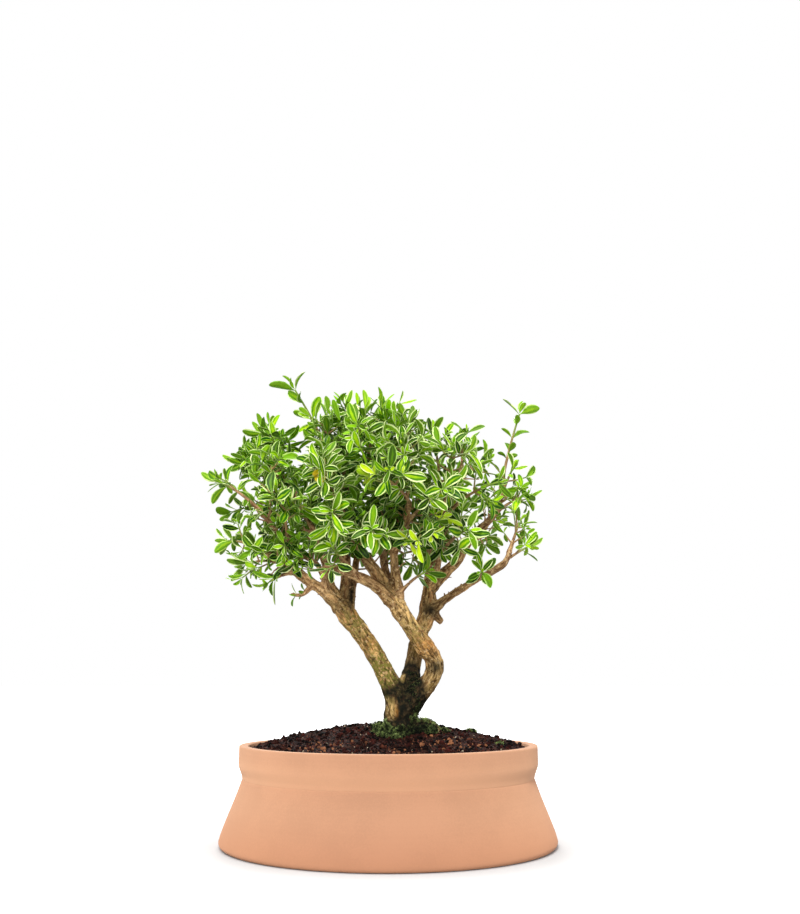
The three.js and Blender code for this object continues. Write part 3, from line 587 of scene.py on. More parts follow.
def mottle_group():
    """Soft patches on two scales that lighten and darken a colour."""
    tree, nodes, given, out = new_group(
        "mottle",
        {"Vector": "Vector", "Colour": "Color", "Patch scale": "Float", "Speck scale": "Float",
         "Contrast": "Float"},
        {"Colour": "Color"},
    )
    patches = nodes.noise(given["Vector"], given["Patch scale"])
    specks = nodes.noise(given["Vector"], given["Speck scale"], 2)
    mask = nodes.range(nodes.plus(nodes.times(patches, 0.65), nodes.times(specks, 0.35)), 0.3, 0.7)
    low = nodes.minus(1, given["Contrast"])
    high = nodes.plus(1, given["Contrast"])
    gain = nodes.range(mask, 0, 1, low, high)
    grey = nodes.add("CombineXYZ", [gain, gain, gain])[0]
    nodes.feed(out["Colour"], nodes.mix(1, given["Colour"], grey, "MULTIPLY"))
    return tree


def grain_group():
    """Fine relief of a gritty surface, as a normal."""
    tree, nodes, given, out = new_group(
        "grain",
        {"Vector": "Vector", "Scale": "Float", "Strength": "Float", "Depth": "Float", "Height": "Float"},
        {"Normal": "Vector"},
    )
    height = nodes.plus(nodes.noise(given["Vector"], given["Scale"], 4, 0.6), given["Height"])
    relief = {"Height": height, "Strength": given["Strength"], "Distance": given["Depth"]}
    nodes.feed(out["Normal"], nodes.add("Bump", relief)[0])
    return tree


MOTTLE = mottle_group()
GRAIN = grain_group()


def new_material(name, roughness, gloss=0.35):
    """A new material, its node tools and the inputs of its shader."""
    material = bpy.data.materials.new(name)
    material.use_nodes = True
    shader = material.node_tree.nodes["Principled BSDF"].inputs
    shader["Roughness"].default_value = roughness
    shader["Specular IOR Level"].default_value = gloss
    return material, Nodes(material.node_tree), shader


# Materials


def terracotta():
    """Smooth matt clay: faint turning lines, soft patches, a fine grain and a darker, more orange foot,
    with painted light just above the crease.
    """
    material, nodes, shader = new_material("terracotta", 0.82)
    shader["Diffuse Roughness"].default_value = 1.0
    place = nodes.place()
    height = nodes.parts(place)[2]
    lines = nodes.noise(nodes.add("CombineXYZ", {"Z": height})[0], 420, 4)
    painted_light_above_crease = nodes.range(height, CREASE_HEIGHT - 0.001, CREASE_HEIGHT + 0.001)
    clay = nodes.layers(
        nodes.mottled(place, (196, 148, 115), 28, 900, 0.045),
        (nodes.range(lines, 0.35, 0.7, 0, 0.07), (178, 124, 92)),
        # painted light: lightens the band just above the crease, against the shade that falls there
        (nodes.times(painted_light_above_crease, nodes.range(height, 0.050, 0.062, 0.55, 0.08)), (214, 166, 130)),
        (nodes.range(height, 0, 0.034, 0.40, 0), (186, 124, 88)),
    )
    nodes.feed(shader["Base Color"], clay)
    nodes.feed(shader["Normal"], nodes.grained(place, 1500, 0.25, 0.00012, nodes.times(lines, 0.7)))
    return material


def potting_soil():
    """Dark moist crumb with reddish and black patches."""
    material, nodes, shader = new_material("potting_soil", 0.93, 0.08)
    place = nodes.place()
    earth = nodes.layers(
        (13, 8, 7),
        (nodes.spots(place, 110, 4, 0.40, 0.62, 0, 0.7), (56, 23, 18)),
        (nodes.spots(place, 420, 3, 0.46, 0.56, 0.75, 0), (9, 6, 6)),
        (nodes.spots(place, 620, 3, 0.54, 0.62, 0, 0.85), (90, 47, 36)),
        (nodes.spots(place, 1300, 2, 0.62, 0.70, 0, 0.8), (140, 100, 74)),
    )
    nodes.feed(shader["Base Color"], nodes.mottled(place, earth, 90, 1200, 0.45))
    nodes.feed(shader["Normal"], nodes.grained(place, 1600, 0.8, 0.0005))
    return material


def soil_crumb():
    """Loose crumbs: each has its own tone, from black peat to tan bark and pale pumice."""
    material, nodes, shader = new_material("soil_crumb", 0.9, 0.08)
    tone, pale, _ = nodes.parts(nodes.stored("crumb"))
    place = nodes.place()
    ruddy = nodes.mix(nodes.spots(place, 110, 4, 0.40, 0.60), (31, 15, 13), (68, 29, 23))
    crumb = nodes.layers(
        (12, 8, 7),
        (nodes.range(tone, 0.15, 0.8), ruddy),
        (nodes.range(tone, 0.84, 1), (146, 96, 66)),
        (pale, (176, 160, 136)),
    )
    nodes.feed(shader["Base Color"], nodes.mottled(place, crumb, 300, 1500, 0.35))
    nodes.feed(shader["Normal"], nodes.grained(place, 2200, 0.6, 0.0003))
    return material


def bark():
    """Tan fibrous bark with dark cracks that are partly painted shade, a painted highlight on its ridges,
    olive lichen, dark patches that are partly stains and partly painted shade in the forks, and ochre
    flakes.
    """
    material, nodes, shader = new_material("bark", 0.86, 0.15)
    shader["Diffuse Roughness"].default_value = 0.5
    fibre = nodes.stored("fibre")
    lichen, dark_stain_and_shade, ochre = nodes.parts(nodes.stored("patina_and_shade"))
    crack, height, slim = nodes.parts(nodes.stored("relief"))
    place = nodes.place()
    streaks = nodes.noise(fibre, 560, 5, 0.7)
    young = nodes.mix(nodes.range(streaks, 0.4, 0.62), (128, 90, 60), (206, 166, 120))
    bare = nodes.layers(
        (108, 78, 40),
        (nodes.range(streaks, 0.40, 0.60), (232, 194, 128)),
        (nodes.spots(fibre, 150, 3, 0.48, 0.66, 0, 0.5), (206, 146, 96)),
        (slim, young),
        (nodes.times(nodes.spots(place, 170, 3, 0.40, 0.62), 0.45), (96, 66, 36)),
        (nodes.range(nodes.noise(place, 620, 4, 0.7), 0.54, 0.64, 0, 0.5), (62, 42, 24)),
        (nodes.spots(place, 480, 3, 0.56, 0.66, 0, 0.6), (240, 210, 158)),
        # painted highlight: the raised ridges of the relief are lightened
        (nodes.range(height, 0.6, 0.95, 0, 0.35), (226, 190, 138)),
    )
    grown = nodes.layers(
        bare,
        (nodes.times(ochre, nodes.range(streaks, 0.42, 0.56)), (198, 122, 40)),
        (nodes.times(lichen, nodes.spots(place, 420, 4, 0.40, 0.54)), (128, 120, 54)),
        # dark patches: partly stains, partly painted shade in the forks
        (nodes.times(dark_stain_and_shade, nodes.spots(place, 330, 4, 0.42, 0.66, 1, 0.88)), (20, 21, 12)),
        # cracks are darkened: partly their own dark colour, partly painted shade in them
        (nodes.range(crack, 0.2, 0.9, 0, 0.75), (44, 29, 17)),
    )
    nodes.feed(shader["Base Color"], nodes.mottled(fibre, grown, 70, 1300, 0.22))
    nodes.feed(shader["Normal"], nodes.grained(fibre, 900, 0.7, 0.0005, nodes.times(streaks, 1.2)))
    return material


def leaf_blade():
    """A dark leaf with a lime stripe that starts at its foot and a thin pale margin, with painted shade on
    leaves deep in the crown.
    """
    material, nodes, shader = new_material("leaf_blade", 0.45, 0.12)
    blade = nodes.stored("blade")
    across, along, side = nodes.parts(blade)
    tone, youth, cream = nodes.parts(nodes.stored("leaf_tone"))
    ripe, number, shade = nodes.parts(nodes.stored("leaf_age"))
    shift = nodes.add("CombineXYZ", [number, number])[0]
    place = nodes.add("VectorMath", [blade, shift], operation="ADD")[0]
    wobble = nodes.minus(nodes.noise(place, 5, 2), 0.5)
    out = nodes.math("ABSOLUTE", across)
    edge = nodes.minus(0.77, nodes.times(cream, 0.14))
    margin = nodes.range(nodes.plus(out, nodes.times(wobble, 0.35)), edge, nodes.plus(edge, 0.09))
    width = nodes.plus(0.13, nodes.times(youth, 0.5))
    end = nodes.plus(width, nodes.range(along, 0, 0.8, 0.34, 0.06))
    stripe = nodes.range(nodes.plus(out, nodes.times(wobble, 0.5)), nodes.times(end, 0.5), end, 1, 0)
    stripe = nodes.times(stripe, nodes.range(along, 0.5, 1, 1, 0.45))
    lime = nodes.mix(tone, (112, 168, 6), (198, 236, 18))
    pale = nodes.mix(tone, (138, 188, 62), (218, 244, 116))
    upper = nodes.layers(
        (3, 32, 8),
        (nodes.range(tone, 0, 0.5), (28, 88, 12)),
        (nodes.range(tone, 0.45, 1), (106, 172, 6)),
        (youth, (140, 200, 6)),
        (nodes.times(stripe, nodes.plus(0.3, nodes.times(tone, 0.7))), lime),
        (margin, nodes.mix(cream, pale, (244, 254, 184))),
        # painted shade: leaves deep inside the crown are darkened
        (nodes.times(shade, 0.7), (10, 42, 4)),
        (ripe, (232, 190, 34)),
    )
    under = nodes.mix(0.42, upper, (122, 164, 40))
    nodes.feed(shader["Base Color"], nodes.mottled(place, nodes.mix(side, under, upper), 3, 30, 0.16))
    veins = nodes.math("SINE", nodes.minus(nodes.times(along, 55), nodes.times(out, 9)))
    nodes.feed(shader["Normal"], nodes.grained(place, 24, 0.3, 0.00012, nodes.times(veins, 0.35)))
    nodes.feed(shader["Roughness"], nodes.range(tone, 0, 1, 0.4, 0.55))
    return material


def green_twig():
    """A young twig: woody tan at its foot, fresh green towards the tip."""
    material, nodes, shader = new_material("green_twig", 0.6)
    green, _, _ = nodes.parts(nodes.stored("leaf_tone"))
    place = nodes.place()
    woody = nodes.mix(nodes.noise(place, 900), (120, 88, 56), (186, 148, 100))
    fresh = nodes.mix(nodes.noise(place, 600), (96, 128, 40), (150, 176, 70))
    skin = nodes.mix(nodes.range(green, 0.35, 0.9), woody, fresh)
    nodes.feed(shader["Base Color"], nodes.mottled(place, skin, 200, 1800, 0.18))
    nodes.feed(shader["Normal"], nodes.grained(place, 2500, 0.4, 0.0002))
    return material


def moss():
    """Short dense moss, dark at its foot and bright at its tips."""
    material, nodes, shader = new_material("moss", 0.8, 0.1)
    tip, tone, _ = nodes.parts(nodes.stored("sprig"))
    foot = nodes.mix(tone, (12, 13, 10), (48, 62, 36))
    top = nodes.mix(tone, (26, 31, 22), (184, 206, 122))
    sprig = nodes.mottled(nodes.place(), nodes.mix(tip, foot, top), 120, 1500, 0.3)
    nodes.feed(shader["Base Color"], sprig)
    return material


def black_plastic():
    """Matt black plastic of the drain screens."""
    material, nodes, shader = new_material("black_plastic", 0.55)
    place = nodes.place()
    nodes.feed(shader["Base Color"], nodes.mottled(place, (30, 30, 31), 150, 1500, 0.2))
    nodes.feed(shader["Normal"], nodes.grained(place, 3000, 0.3, 0.0001))
    return material


# Pot and what lies in it


def arc(centre, radius, start, end, steps):
    """Points on a rounded edge of a profile, from one angle to another in degrees."""
    turns = np.radians(np.linspace(start, end, steps))
    return [(centre[0] + radius * math.cos(t), centre[1] + radius * math.sin(t)) for t in turns]


def pot_profile():
    """The pot's outline, from the middle of its underside over the lip to the middle of its floor."""
    points = [(0, 0), (0.03, 0), (0.07, 0), (FOOT_RADIUS - 0.001, 0)]
    points += arc((BELLY_RADIUS - FOOT_ROUNDING, BELLY_HEIGHT - 0.0012), FOOT_ROUNDING, -72, 8, 8)
    for share in np.linspace(0.08, 0.97, 26):
        bulge = 0.10 * math.sin(math.pi * share) * (share - 0.5)
        radius = BELLY_RADIUS + (CREASE_RADIUS - BELLY_RADIUS) * (share + bulge)
        points.append((radius, BELLY_HEIGHT + (CREASE_HEIGHT - BELLY_HEIGHT) * share))
    points += [(CREASE_RADIUS - 0.0002, CREASE_HEIGHT - 0.0002), (CREASE_RADIUS, CREASE_HEIGHT + 0.0006)]
    lip = POT_HEIGHT - LIP_ROUNDING
    for share in np.linspace(0.06, 1, 22):
        run = min(1, share / COLLAR_CURVE)
        radius = CREASE_RADIUS + (RIM_RADIUS - CREASE_RADIUS) * run * run * (3 - 2 * run)
        points.append((radius, CREASE_HEIGHT + (lip - CREASE_HEIGHT) * share))
    points += arc((RIM_RADIUS - LIP_ROUNDING, lip), LIP_ROUNDING, 12, 90, 6)
    points += arc((RIM_RADIUS - WALL + LIP_ROUNDING, lip), LIP_ROUNDING, 90, 180, 7)
    return points + [
        (RIM_RADIUS - WALL, POT_HEIGHT - 0.006), (CREASE_RADIUS - WALL, CREASE_HEIGHT),
        (BELLY_RADIUS - WALL - 0.001, FLOOR + 0.006), (BELLY_RADIUS - WALL - 0.006, FLOOR),
        (0.07, FLOOR), (0.03, FLOOR), (0, FLOOR),
    ]


def drain_screens():
    """The solid screens over the drain holes, each with its low and its high corner."""
    names = sorted(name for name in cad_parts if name.startswith("drain_screen"))
    return [(name, *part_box(name)) for name in names]


def make_pot():
    """The turned pot, bored through its floor under each drain screen."""
    shape = Shape()
    shape.add(*turned(pot_profile(), POT_SIDES))
    body = placed("pot_body", shape.mesh("pot_body"))
    drills = Shape()
    drill_profile = [(0, -0.01), (DRAIN_RADIUS, -0.01), (DRAIN_RADIUS, 0.012), (0, 0.012)]
    for _, low, high in drain_screens():
        corners, faces = turned(drill_profile, 40)
        drills.add(np.array(corners) + ((low.x + high.x) / 2, (low.y + high.y) / 2, 0), faces)
    drill = placed("drain_drill", drills.mesh("drain_drill"))
    cut = body.modifiers.new("drain holes", "BOOLEAN")
    cut.object = drill
    cut.operation = "DIFFERENCE"
    cut.solver = "EXACT"
    mesh = finished_mesh(body)
    bpy.data.objects.remove(drill)
    mesh.set_sharp_from_angle(angle=math.radians(40))
    piece("terracotta_pot", mesh, [terracotta()], ["pot"])


def screen_grid(low, high):
    """A square plastic grid: its bars are the cells that don't have odd numbers both ways."""
    pitch = (high.x - low.x) / SCREEN_HOLES
    bar = pitch / 2.6
    opening = (high.x - low.x - bar * (SCREEN_HOLES + 1)) / SCREEN_HOLES
    lines = [i // 2 * (bar + opening) + i % 2 * bar for i in range(2 * SCREEN_HOLES + 2)]
    cells = len(lines) - 1

    def solid(i, j):
        return 0 <= i < cells and 0 <= j < cells and not (i % 2 and j % 2)

    corners = [(low.x + x, low.y + y, z) for z in (low.z, high.z) for y in lines for x in lines]
    top = len(lines) ** 2
    faces = []
    for i, j in [(i, j) for j in range(cells) for i in range(cells) if solid(i, j)]:
        corner = j * len(lines) + i
        ring = [corner, corner + 1, corner + len(lines) + 1, corner + len(lines)]
        faces += [ring[::-1], [k + top for k in ring]]
        beside = [(i, j - 1), (i + 1, j), (i, j + 1), (i - 1, j)]
        for a, b, cell in zip(ring, ring[1:] + ring[:1], beside):
            if not solid(*cell):
                faces.append((a, b, b + top, a + top))
    return corners, faces


def make_screens():
    """A plastic screen over each drain hole."""
    plastic = black_plastic()
    for name, low, high in drain_screens():
        shape = Shape()
        shape.add(*screen_grid(low, high))
        number = name.rsplit("_", 1)[1]
        piece(f"screen_over_drain_{number}", shape.mesh(name + "_grid", 30), [plastic],
              [name])


def soil_height(x, y):
    """Height of the mounded soil, lumpy, crumbly and highest behind the trunk."""
    share = math.hypot(x, y) / (RIM_RADIUS - WALL)
    along = (x - SOIL_PEAK[0]) / SOIL_SPREAD[0]
    deep = (y - SOIL_PEAK[1]) / SOIL_SPREAD[1]
    rise = SOIL_RISE * math.exp(-(along ** 2) - deep ** 2)
    rise += SOIL_WAVE * math.sin(x / 0.009 + 1) * math.cos(y / 0.008)
    rise += SOIL_RIPPLE * math.sin(x / 0.005 - y / 0.006)
    height = SOIL_EDGE + rise * max(0, 1 - share ** 4)
    for size, depth in SOIL_ROUGHNESS:
        height += depth * noise.noise(Vector((x / size, y / size, size * 1000)))
    return height


def make_soil():
    """The soil: it follows the pot's inside, and its top is mounded."""
    edge = RIM_RADIUS - WALL - GAP
    profile = [
        (0, FLOOR + GAP), (0.05, FLOOR + GAP), (BELLY_RADIUS - WALL - 0.0065, FLOOR + GAP),
        (BELLY_RADIUS - WALL - 0.0015, FLOOR + 0.006), (CREASE_RADIUS - WALL - GAP, CREASE_HEIGHT),
        (edge - 0.0006, SOIL_EDGE - 0.001),
    ]
    radii = edge * np.sqrt(np.linspace(0.9985, 0.0001, SOIL_RINGS))
    profile += [(radius, SOIL_EDGE) for radius in (*radii, 0)]
    corners, faces = turned(profile, SOIL_SIDES)
    corners = [(x, y, z if z < SOIL_EDGE else soil_height(x, y)) for x, y, z in corners]
    shape = Shape()
    shape.add(corners, faces)
    piece("potting_soil", shape.mesh("potting_soil"), [potting_soil()], ["soil"])


def icosphere(levels):
    """Corners and faces of a round lump of radius 1."""
    golden = (1 + math.sqrt(5)) / 2
    pairs = [(-1, golden), (1, golden), (-1, -golden), (1, -golden)]
    corners = [(a, b, 0) for a, b in pairs]
    corners += [(0, a, b) for a, b in pairs]
    corners += [(b, 0, a) for a, b in pairs]
    corners = [Vector(corner).normalized() for corner in corners]
    faces = [(0, 11, 5), (0, 5, 1), (0, 1, 7), (0, 7, 10), (0, 10, 11), (1, 5, 9), (5, 11, 4),
             (11, 10, 2), (10, 7, 6), (7, 1, 8), (3, 9, 4), (3, 4, 2), (3, 2, 6), (3, 6, 8),
             (3, 8, 9), (4, 9, 5), (2, 4, 11), (6, 2, 10), (8, 6, 7), (9, 8, 1)]
    for _ in range(levels):
        middles = {}
        finer = []
        for a, b, c in faces:
            found = []
            for start, end in ((a, b), (b, c), (c, a)):
                edge = (min(start, end), max(start, end))
                if edge not in middles:
                    middles[edge] = len(corners)
                    corners.append(((corners[start] + corners[end]) / 2).normalized())
                found.append(middles[edge])
            ab, bc, ca = found
            finer += [(a, ab, ca), (b, bc, ab), (c, ca, bc), (ab, bc, ca)]
        faces = finer
    return np.array([tuple(corner) for corner in corners]), faces


def make_crumbs():
    """Loose crumbs of peat, bark and pumice, half sunk in the soil."""
    chance = np.random.default_rng(11)
    shape = Shape()
    small, large = icosphere(0), icosphere(1)
    edge = RIM_RADIUS - WALL - 0.004
    for _ in range(CRUMB_COUNT):
        radius = edge * math.sqrt(chance.random())
        turn = chance.random() * 2 * math.pi
        x, y = radius * math.cos(turn), radius * math.sin(turn)
        size = CRUMB_SIZE + CRUMB_SIZE_SPREAD * chance.random() ** 2.5
        corners, faces = large if size > LARGE_CRUMB else small
        stretch = 0.65 + 0.6 * chance.random(3)
        rough = 0.78 + 0.4 * chance.random((len(corners), 1))
        spin = Vector(chance.random(3) - 0.5).to_track_quat("Z", "X").to_matrix()
        lump = (corners * stretch * rough * size) @ np.array(spin)
        pale = chance.random() < PUMICE_SHARE and size < PUMICE_SIZE
        barky = sum(math.exp(-((x - a) ** 2 + (y - b) ** 2) / reach ** 2) for a, b, reach in BARKY_SOIL)
        tone = min(1, chance.random() * (0.85 + 0.5 * barky) + 0.15 * barky)
        shape.add(lump + (x, y, soil_height(x, y) + 0.2 * size), faces, crumb=(tone, pale, 0))
    piece("soil_crumbs", shape.mesh("soil_crumbs", 35), [soil_crumb()])


# Wood


def walk(bends, step):
    """Rows of (x, y, z, radius) along a smooth line through the bends."""
    knots = np.array([bends[0], *bends, bends[-1]])
    rows = []
    for a, b, c, d in zip(knots, knots[1:], knots[2:], knots[3:]):
        count = max(2, int(np.linalg.norm((c - b)[:3]) / step))
        for t in np.arange(count) / count:
            rows.append(0.5 * (2 * b + (c - a) * t + (2 * a - 5 * b + 4 * c - d) * t ** 2
                               + (3 * b - a - 3 * c + d) * t ** 3))
    return np.array([*rows, knots[-1]])


def lengths_along(rows):
    """How far along a line each of its places lies."""
    steps = np.linalg.norm(np.diff(np.array(rows)[:, :3], axis=0), axis=1)
    return np.concatenate([[0], np.cumsum(steps)])


def square_to(direction, axis):
    """A direction turned until it is square to an axis."""
    return (direction - axis * direction.dot(axis)).normalized()


def ring_frames(rows):
    """Direction and two steady side directions at each row of a line."""
    alongs = np.gradient(rows[:, :3], axis=0)
    alongs /= np.linalg.norm(alongs, axis=1)[:, None]
    across = Vector((1, 0, 0)) if abs(alongs[0][0]) < 0.9 else Vector((0, 1, 0))
    frames = []
    for row in alongs:
        along = Vector(row)
        across = square_to(across, along)
        frames.append((along, across, along.cross(across)))
    return frames


def limb(shape, samples, rows, sides, number, rugged):
    """One limb: a tube with swellings and lobes that wind along it; its rows join the samples."""
    turns = even_turns(sides)
    corners = []
    for row, (along, across, other), length in zip(rows, ring_frames(rows), lengths_along(rows)):
        swell = 1 + rugged * SWELLING * noise.noise(Vector((length / SWELLING_LENGTH, number * 7.3, 0)))
        wind = 2.2 * length / WIND_LENGTH + number
        lobes = 1 + rugged * (0.07 * np.cos(2 * turns + wind) + 0.05 * np.cos(3 * turns - 1.4 * wind))
        spread = np.outer(np.cos(turns), across) + np.outer(np.sin(turns), other)
        at = Vector(row[:3])
        corners.append(np.array(at) + spread * (row[3] * swell * lobes)[:, None])
        samples.append((at, along, across, length, row[3], number))
    shape.add(np.vstack(corners), tube_faces(len(rows), sides))


def flared(rows, amount, reach):
    """The rows of a branch, widened where it leaves its parent."""
    rows = rows.copy()
    rows[:, 3] *= 1 + amount * np.exp(-lengths_along(rows) / reach)
    return rows


class Bow:
    """A curve from a foot past a handle to a tip, walked by its own length."""

    SHARES = np.linspace(0, 1, 201)

    def __init__(self, foot, handle, tip):
        self.points = (foot, handle, tip)
        self.lengths = lengths_along([self.place(t) for t in self.SHARES])
        self.length = float(self.lengths[-1])

    def place(self, t):
        foot, handle, tip = self.points
        return foot * (1 - t) ** 2 + handle * 2 * t * (1 - t) + tip * t * t

    def share(self, u):
        return float(np.interp(u * self.length, self.lengths, self.SHARES))

    def at(self, u):
        return self.place(self.share(u))

    def along(self, u):
        t = self.share(u)
        foot, handle, tip = self.points
        return ((handle - foot) * (1 - t) + (tip - handle) * t).normalized()


def carrier_places():
    """Places on the bare wood where a spray's branch can leave it."""
    places = []
    for bends in (STEMS["middle"], *BRANCHES.values()):
        points = [Vector(bend[:3]) for bend in bends]
        for i in range(1, len(bends)):
            after = points[min(i + 1, len(points) - 1)]
            along = (after - points[i - 1]).normalized()
            for share in (0.5, 1):
                at = points[i - 1].lerp(points[i], share)
                radius = bends[i - 1][3] + (bends[i][3] - bends[i - 1][3]) * share
                if at.z > LOWEST_CARRIER:
                    places.append({"at": at, "along": along, "radius": radius, "taken": False})
    return places


def nearest_carrier(places, tip, reach):
    """The nearest free place that already heads the tip's way; its close neighbours are then taken."""
    def cost(place):
        way = tip - place["at"]
        return way.length * (TURNING_COST - way.dot(place["along"]) / way.length)

    free = [place for place in places
            if not place["taken"] and (tip - place["at"]).length > CARRIER_REACH * reach]
    best = min(free, key=cost)
    for place in places:
        if (place["at"] - best["at"]).length < CARRIER_SPACING:
            place["taken"] = True
    return best


def spray_plans():
    """For each spray its number, kind, tip and carrying branch, and where on it the spray starts."""
    places = carrier_places()
    plans = []
    for kind, tips in SPRAYS.items():
        reach = KINDS[kind]["reach"]
        for tip in map(Vector, tips):
            carrier = nearest_carrier(places, tip, reach)
            foot = carrier["at"]
            length = (tip - foot).length
            handle = foot.lerp(tip, 0.3) + carrier["along"] * 0.16 * length + UP * 0.06 * length
            curve = Bow(foot, handle, tip)
            bare = max(curve.length - reach, carrier["radius"] + BARE_STRETCH)
            plans.append({"number": len(plans) + 1, "kind": kind, "tip": tip, "curve": curve,
                          "seat": bare / curve.length, "radius": carrier["radius"]})
    return plans


def smoothed(places, edges, rounds):
    """A mesh's corners, smoothed by pulls inwards and pushes back outwards, so that it keeps its size."""
    count = np.bincount(edges.ravel(), minlength=len(places))[:, None]
    for _ in range(rounds):
        for pull in (0.5, -0.53):
            sums = np.zeros_like(places)
            for axis in range(3):
                for here, there in (edges.T, edges.T[::-1]):
                    sums[:, axis] += np.bincount(here, places[there, axis], len(places))
            places = places + pull * (sums / count - places)
    return places


def covered(places, patches):
    """How strongly soft round patches together cover each place."""
    cover = 0
    for strength, centre, size in patches:
        away = (places - metres(centre)) / metres(size)
        cover = cover + strength * np.exp(-np.sum(away ** 2, axis=1))
    return cover


def make_wood(plans):
    """Trunk, stems, branches and the sprays' bare branches, joined into one barked piece."""
    limbs = [(TRUNK, "trunk"), (SURFACE_ROOT, "root")]
    for kind, grown in (("stem", STEMS), ("branch", BRANCHES), ("stub", STUBS)):
        limbs += [(bends, kind) for bends in grown.values()]
    shape = Shape()
    samples = []
    for number, (bends, kind) in enumerate(limbs, 1):
        sides, rugged, step = LIMB_MAKES[kind]
        rows = walk(bends, step)
        if kind not in ("trunk", "root"):
            rows = flared(rows, FLARE, 2.5 * bends[0][3])
        limb(shape, samples, rows, sides, number, rugged)
    sides, rugged, step = LEADER_MAKE
    for number, plan in enumerate(plans, len(limbs) + 1):
        curve, seat = plan["curve"], plan["seat"]
        count = max(8, int(curve.length * seat / step))
        radii = np.linspace(LEADER_RADIUS, TWIG_SEAT * 1.25, count)
        rows = np.array([(*curve.at(u), radius) for u, radius in zip(np.linspace(0, seat, count), radii)])
        limb(shape, samples, flared(rows, LEADER_FLARE, 2 * LEADER_RADIUS), sides, number, rugged)
    joined = placed("limbs", shape.mesh("limbs"))
    union = joined.modifiers.new("union", "REMESH")
    union.mode = "VOXEL"
    union.voxel_size = WOOD_GRID
    mesh = finished_mesh(joined)
    edges = np.empty(len(mesh.edges) * 2, np.int32)
    mesh.edges.foreach_get("vertices", edges)
    places = smoothed(corner_rows(mesh.vertices, "co"), edges.reshape(-1, 2), 5)
    mesh.vertices.foreach_set("co", places.astype(np.float32).ravel())
    mesh.update()
    add_bark(mesh, samples)
    return piece("trunk_stems_and_branches", mesh, [bark()], ["trunk_and_branches"])


def add_bark(mesh, samples):
    """Raises ridges and cracks that run along each limb, and stores what the bark's finish reads."""
    tree = kdtree.KDTree(len(samples))
    for i, sample in enumerate(samples):
        tree.insert(sample[0], i)
    tree.balance()
    places = corner_rows(mesh.vertices, "co")
    fibre = np.empty_like(places)
    relief = np.empty_like(places)
    depth = np.empty(len(places))
    for i, place in enumerate(places):
        at, along, across, length, radius, number = samples[tree.find(place)[1]]
        away = Vector(place) - at
        turn = math.atan2(away.dot(along.cross(across)), away.dot(across))
        run = (length + away.dot(along)) * BARK_STRETCH
        row = Vector((math.cos(turn) * radius, math.sin(turn) * radius, run))
        row += Vector((0.1 * number, 0, 0))
        ridge = noise.noise(row / RIDGE_SIZE)
        fine = noise.noise(row / FIBRE_SIZE)
        lump = noise.noise(Vector(place) / LUMP_SIZE)
        crack = 1 - min(1, abs(noise.noise(row / CRACK_SIZE + Vector((5, 3, 1)))) / 0.13)
        thick = held((radius - 0.0012) / 0.0045)
        fibre[i] = row
        relief[i] = (crack * thick, 0.5 + 0.6 * ridge, 1 - thick)
        depth[i] = (0.00008 + 0.00040 * thick) * (ridge + 0.6 * fine + 1.5 * lump - 1.4 * crack)
    places += corner_rows(mesh.vertex_normals, "vector") * depth[:, None]
    mesh.vertices.foreach_set("co", places.astype(np.float32).ravel())
    # lichen, dark stains with painted shade in the forks, and ochre, for the bark's finish
    patina_and_shade = np.stack([covered(places, patches) for patches in (LICHEN, DARK_STAINS_AND_SHADE, OCHRE)], axis=1)
    write_values(mesh, "fibre", fibre)
    write_values(mesh, "relief", relief)
    write_values(mesh, "patina_and_shade", np.clip(patina_and_shade, 0, 1))
    mesh.polygons.foreach_set("use_smooth", [True] * len(mesh.polygons))
    mesh.update()


def make_roots():
    """Roots under the soil, spread evenly round the foot of the trunk."""
    shape = Shape()
    samples = []
    foot = TRUNK[1][:3]
    for i in range(ROOT_COUNT):
        start = ((i + 0.25 + 0.3 * draw(i, 1, 9)) / ROOT_COUNT) * 2 * math.pi
        bends = []
        for share in (0, 0.25, 0.5, 0.75, 1):
            out = ROOT_START + ROOT_SPREAD * share
            turn = start + 0.3 * share
            way = (math.cos(turn) * out, math.sin(turn) * out, -0.002 - ROOT_DEPTH * share ** 1.4)
            bends.append((*(foot + way), ROOT_RADIUS * (1 - 0.75 * share)))
        limb(shape, samples, walk(bends, 0.002), 14, i + 90, 1.0)
    mesh = shape.mesh("buried_roots", 60)
    add_bark(mesh, samples)
    piece("buried_roots", mesh, [bpy.data.materials["bark"]])


# Foliage


def way_out(axis, outward, tilt, yaw):
    """The direction that leaves an axis on one side: tilt is the angle to it, yaw a turn round it."""
    sideways = axis.cross(outward)
    return (axis * math.cos(tilt) + outward * math.sin(tilt) * math.cos(yaw)
            + sideways * math.sin(tilt) * math.sin(yaw)).normalized()


class Knot:
    """A place where leaves leave a twig: the twig's directions and radius, and the leaves' lean."""

    def __init__(self, at, along, across, half, lean=LEAF_LEAN):
        self.at = at
        self.along = along
        self.across = across
        self.half = half
        self.lean = lean

    def moved(self, at):
        return Knot(at, self.along, self.across, self.half, self.lean)

    def outward(self, side):
        """The direction out of the twig on one of its four sides."""
        level = square_to(self.across, self.along)
        rise = self.along.cross(level)
        return (-rise, level, rise, -level)[side]


def knot_on(curve, share, turn, half):
    """A knot on a curve, turned round it by an angle from the level."""
    along = curve.along(share)
    across = way_out(along, UP.cross(along).normalized(), math.pi / 2, turn)
    return Knot(curve.at(share), along, across, half)


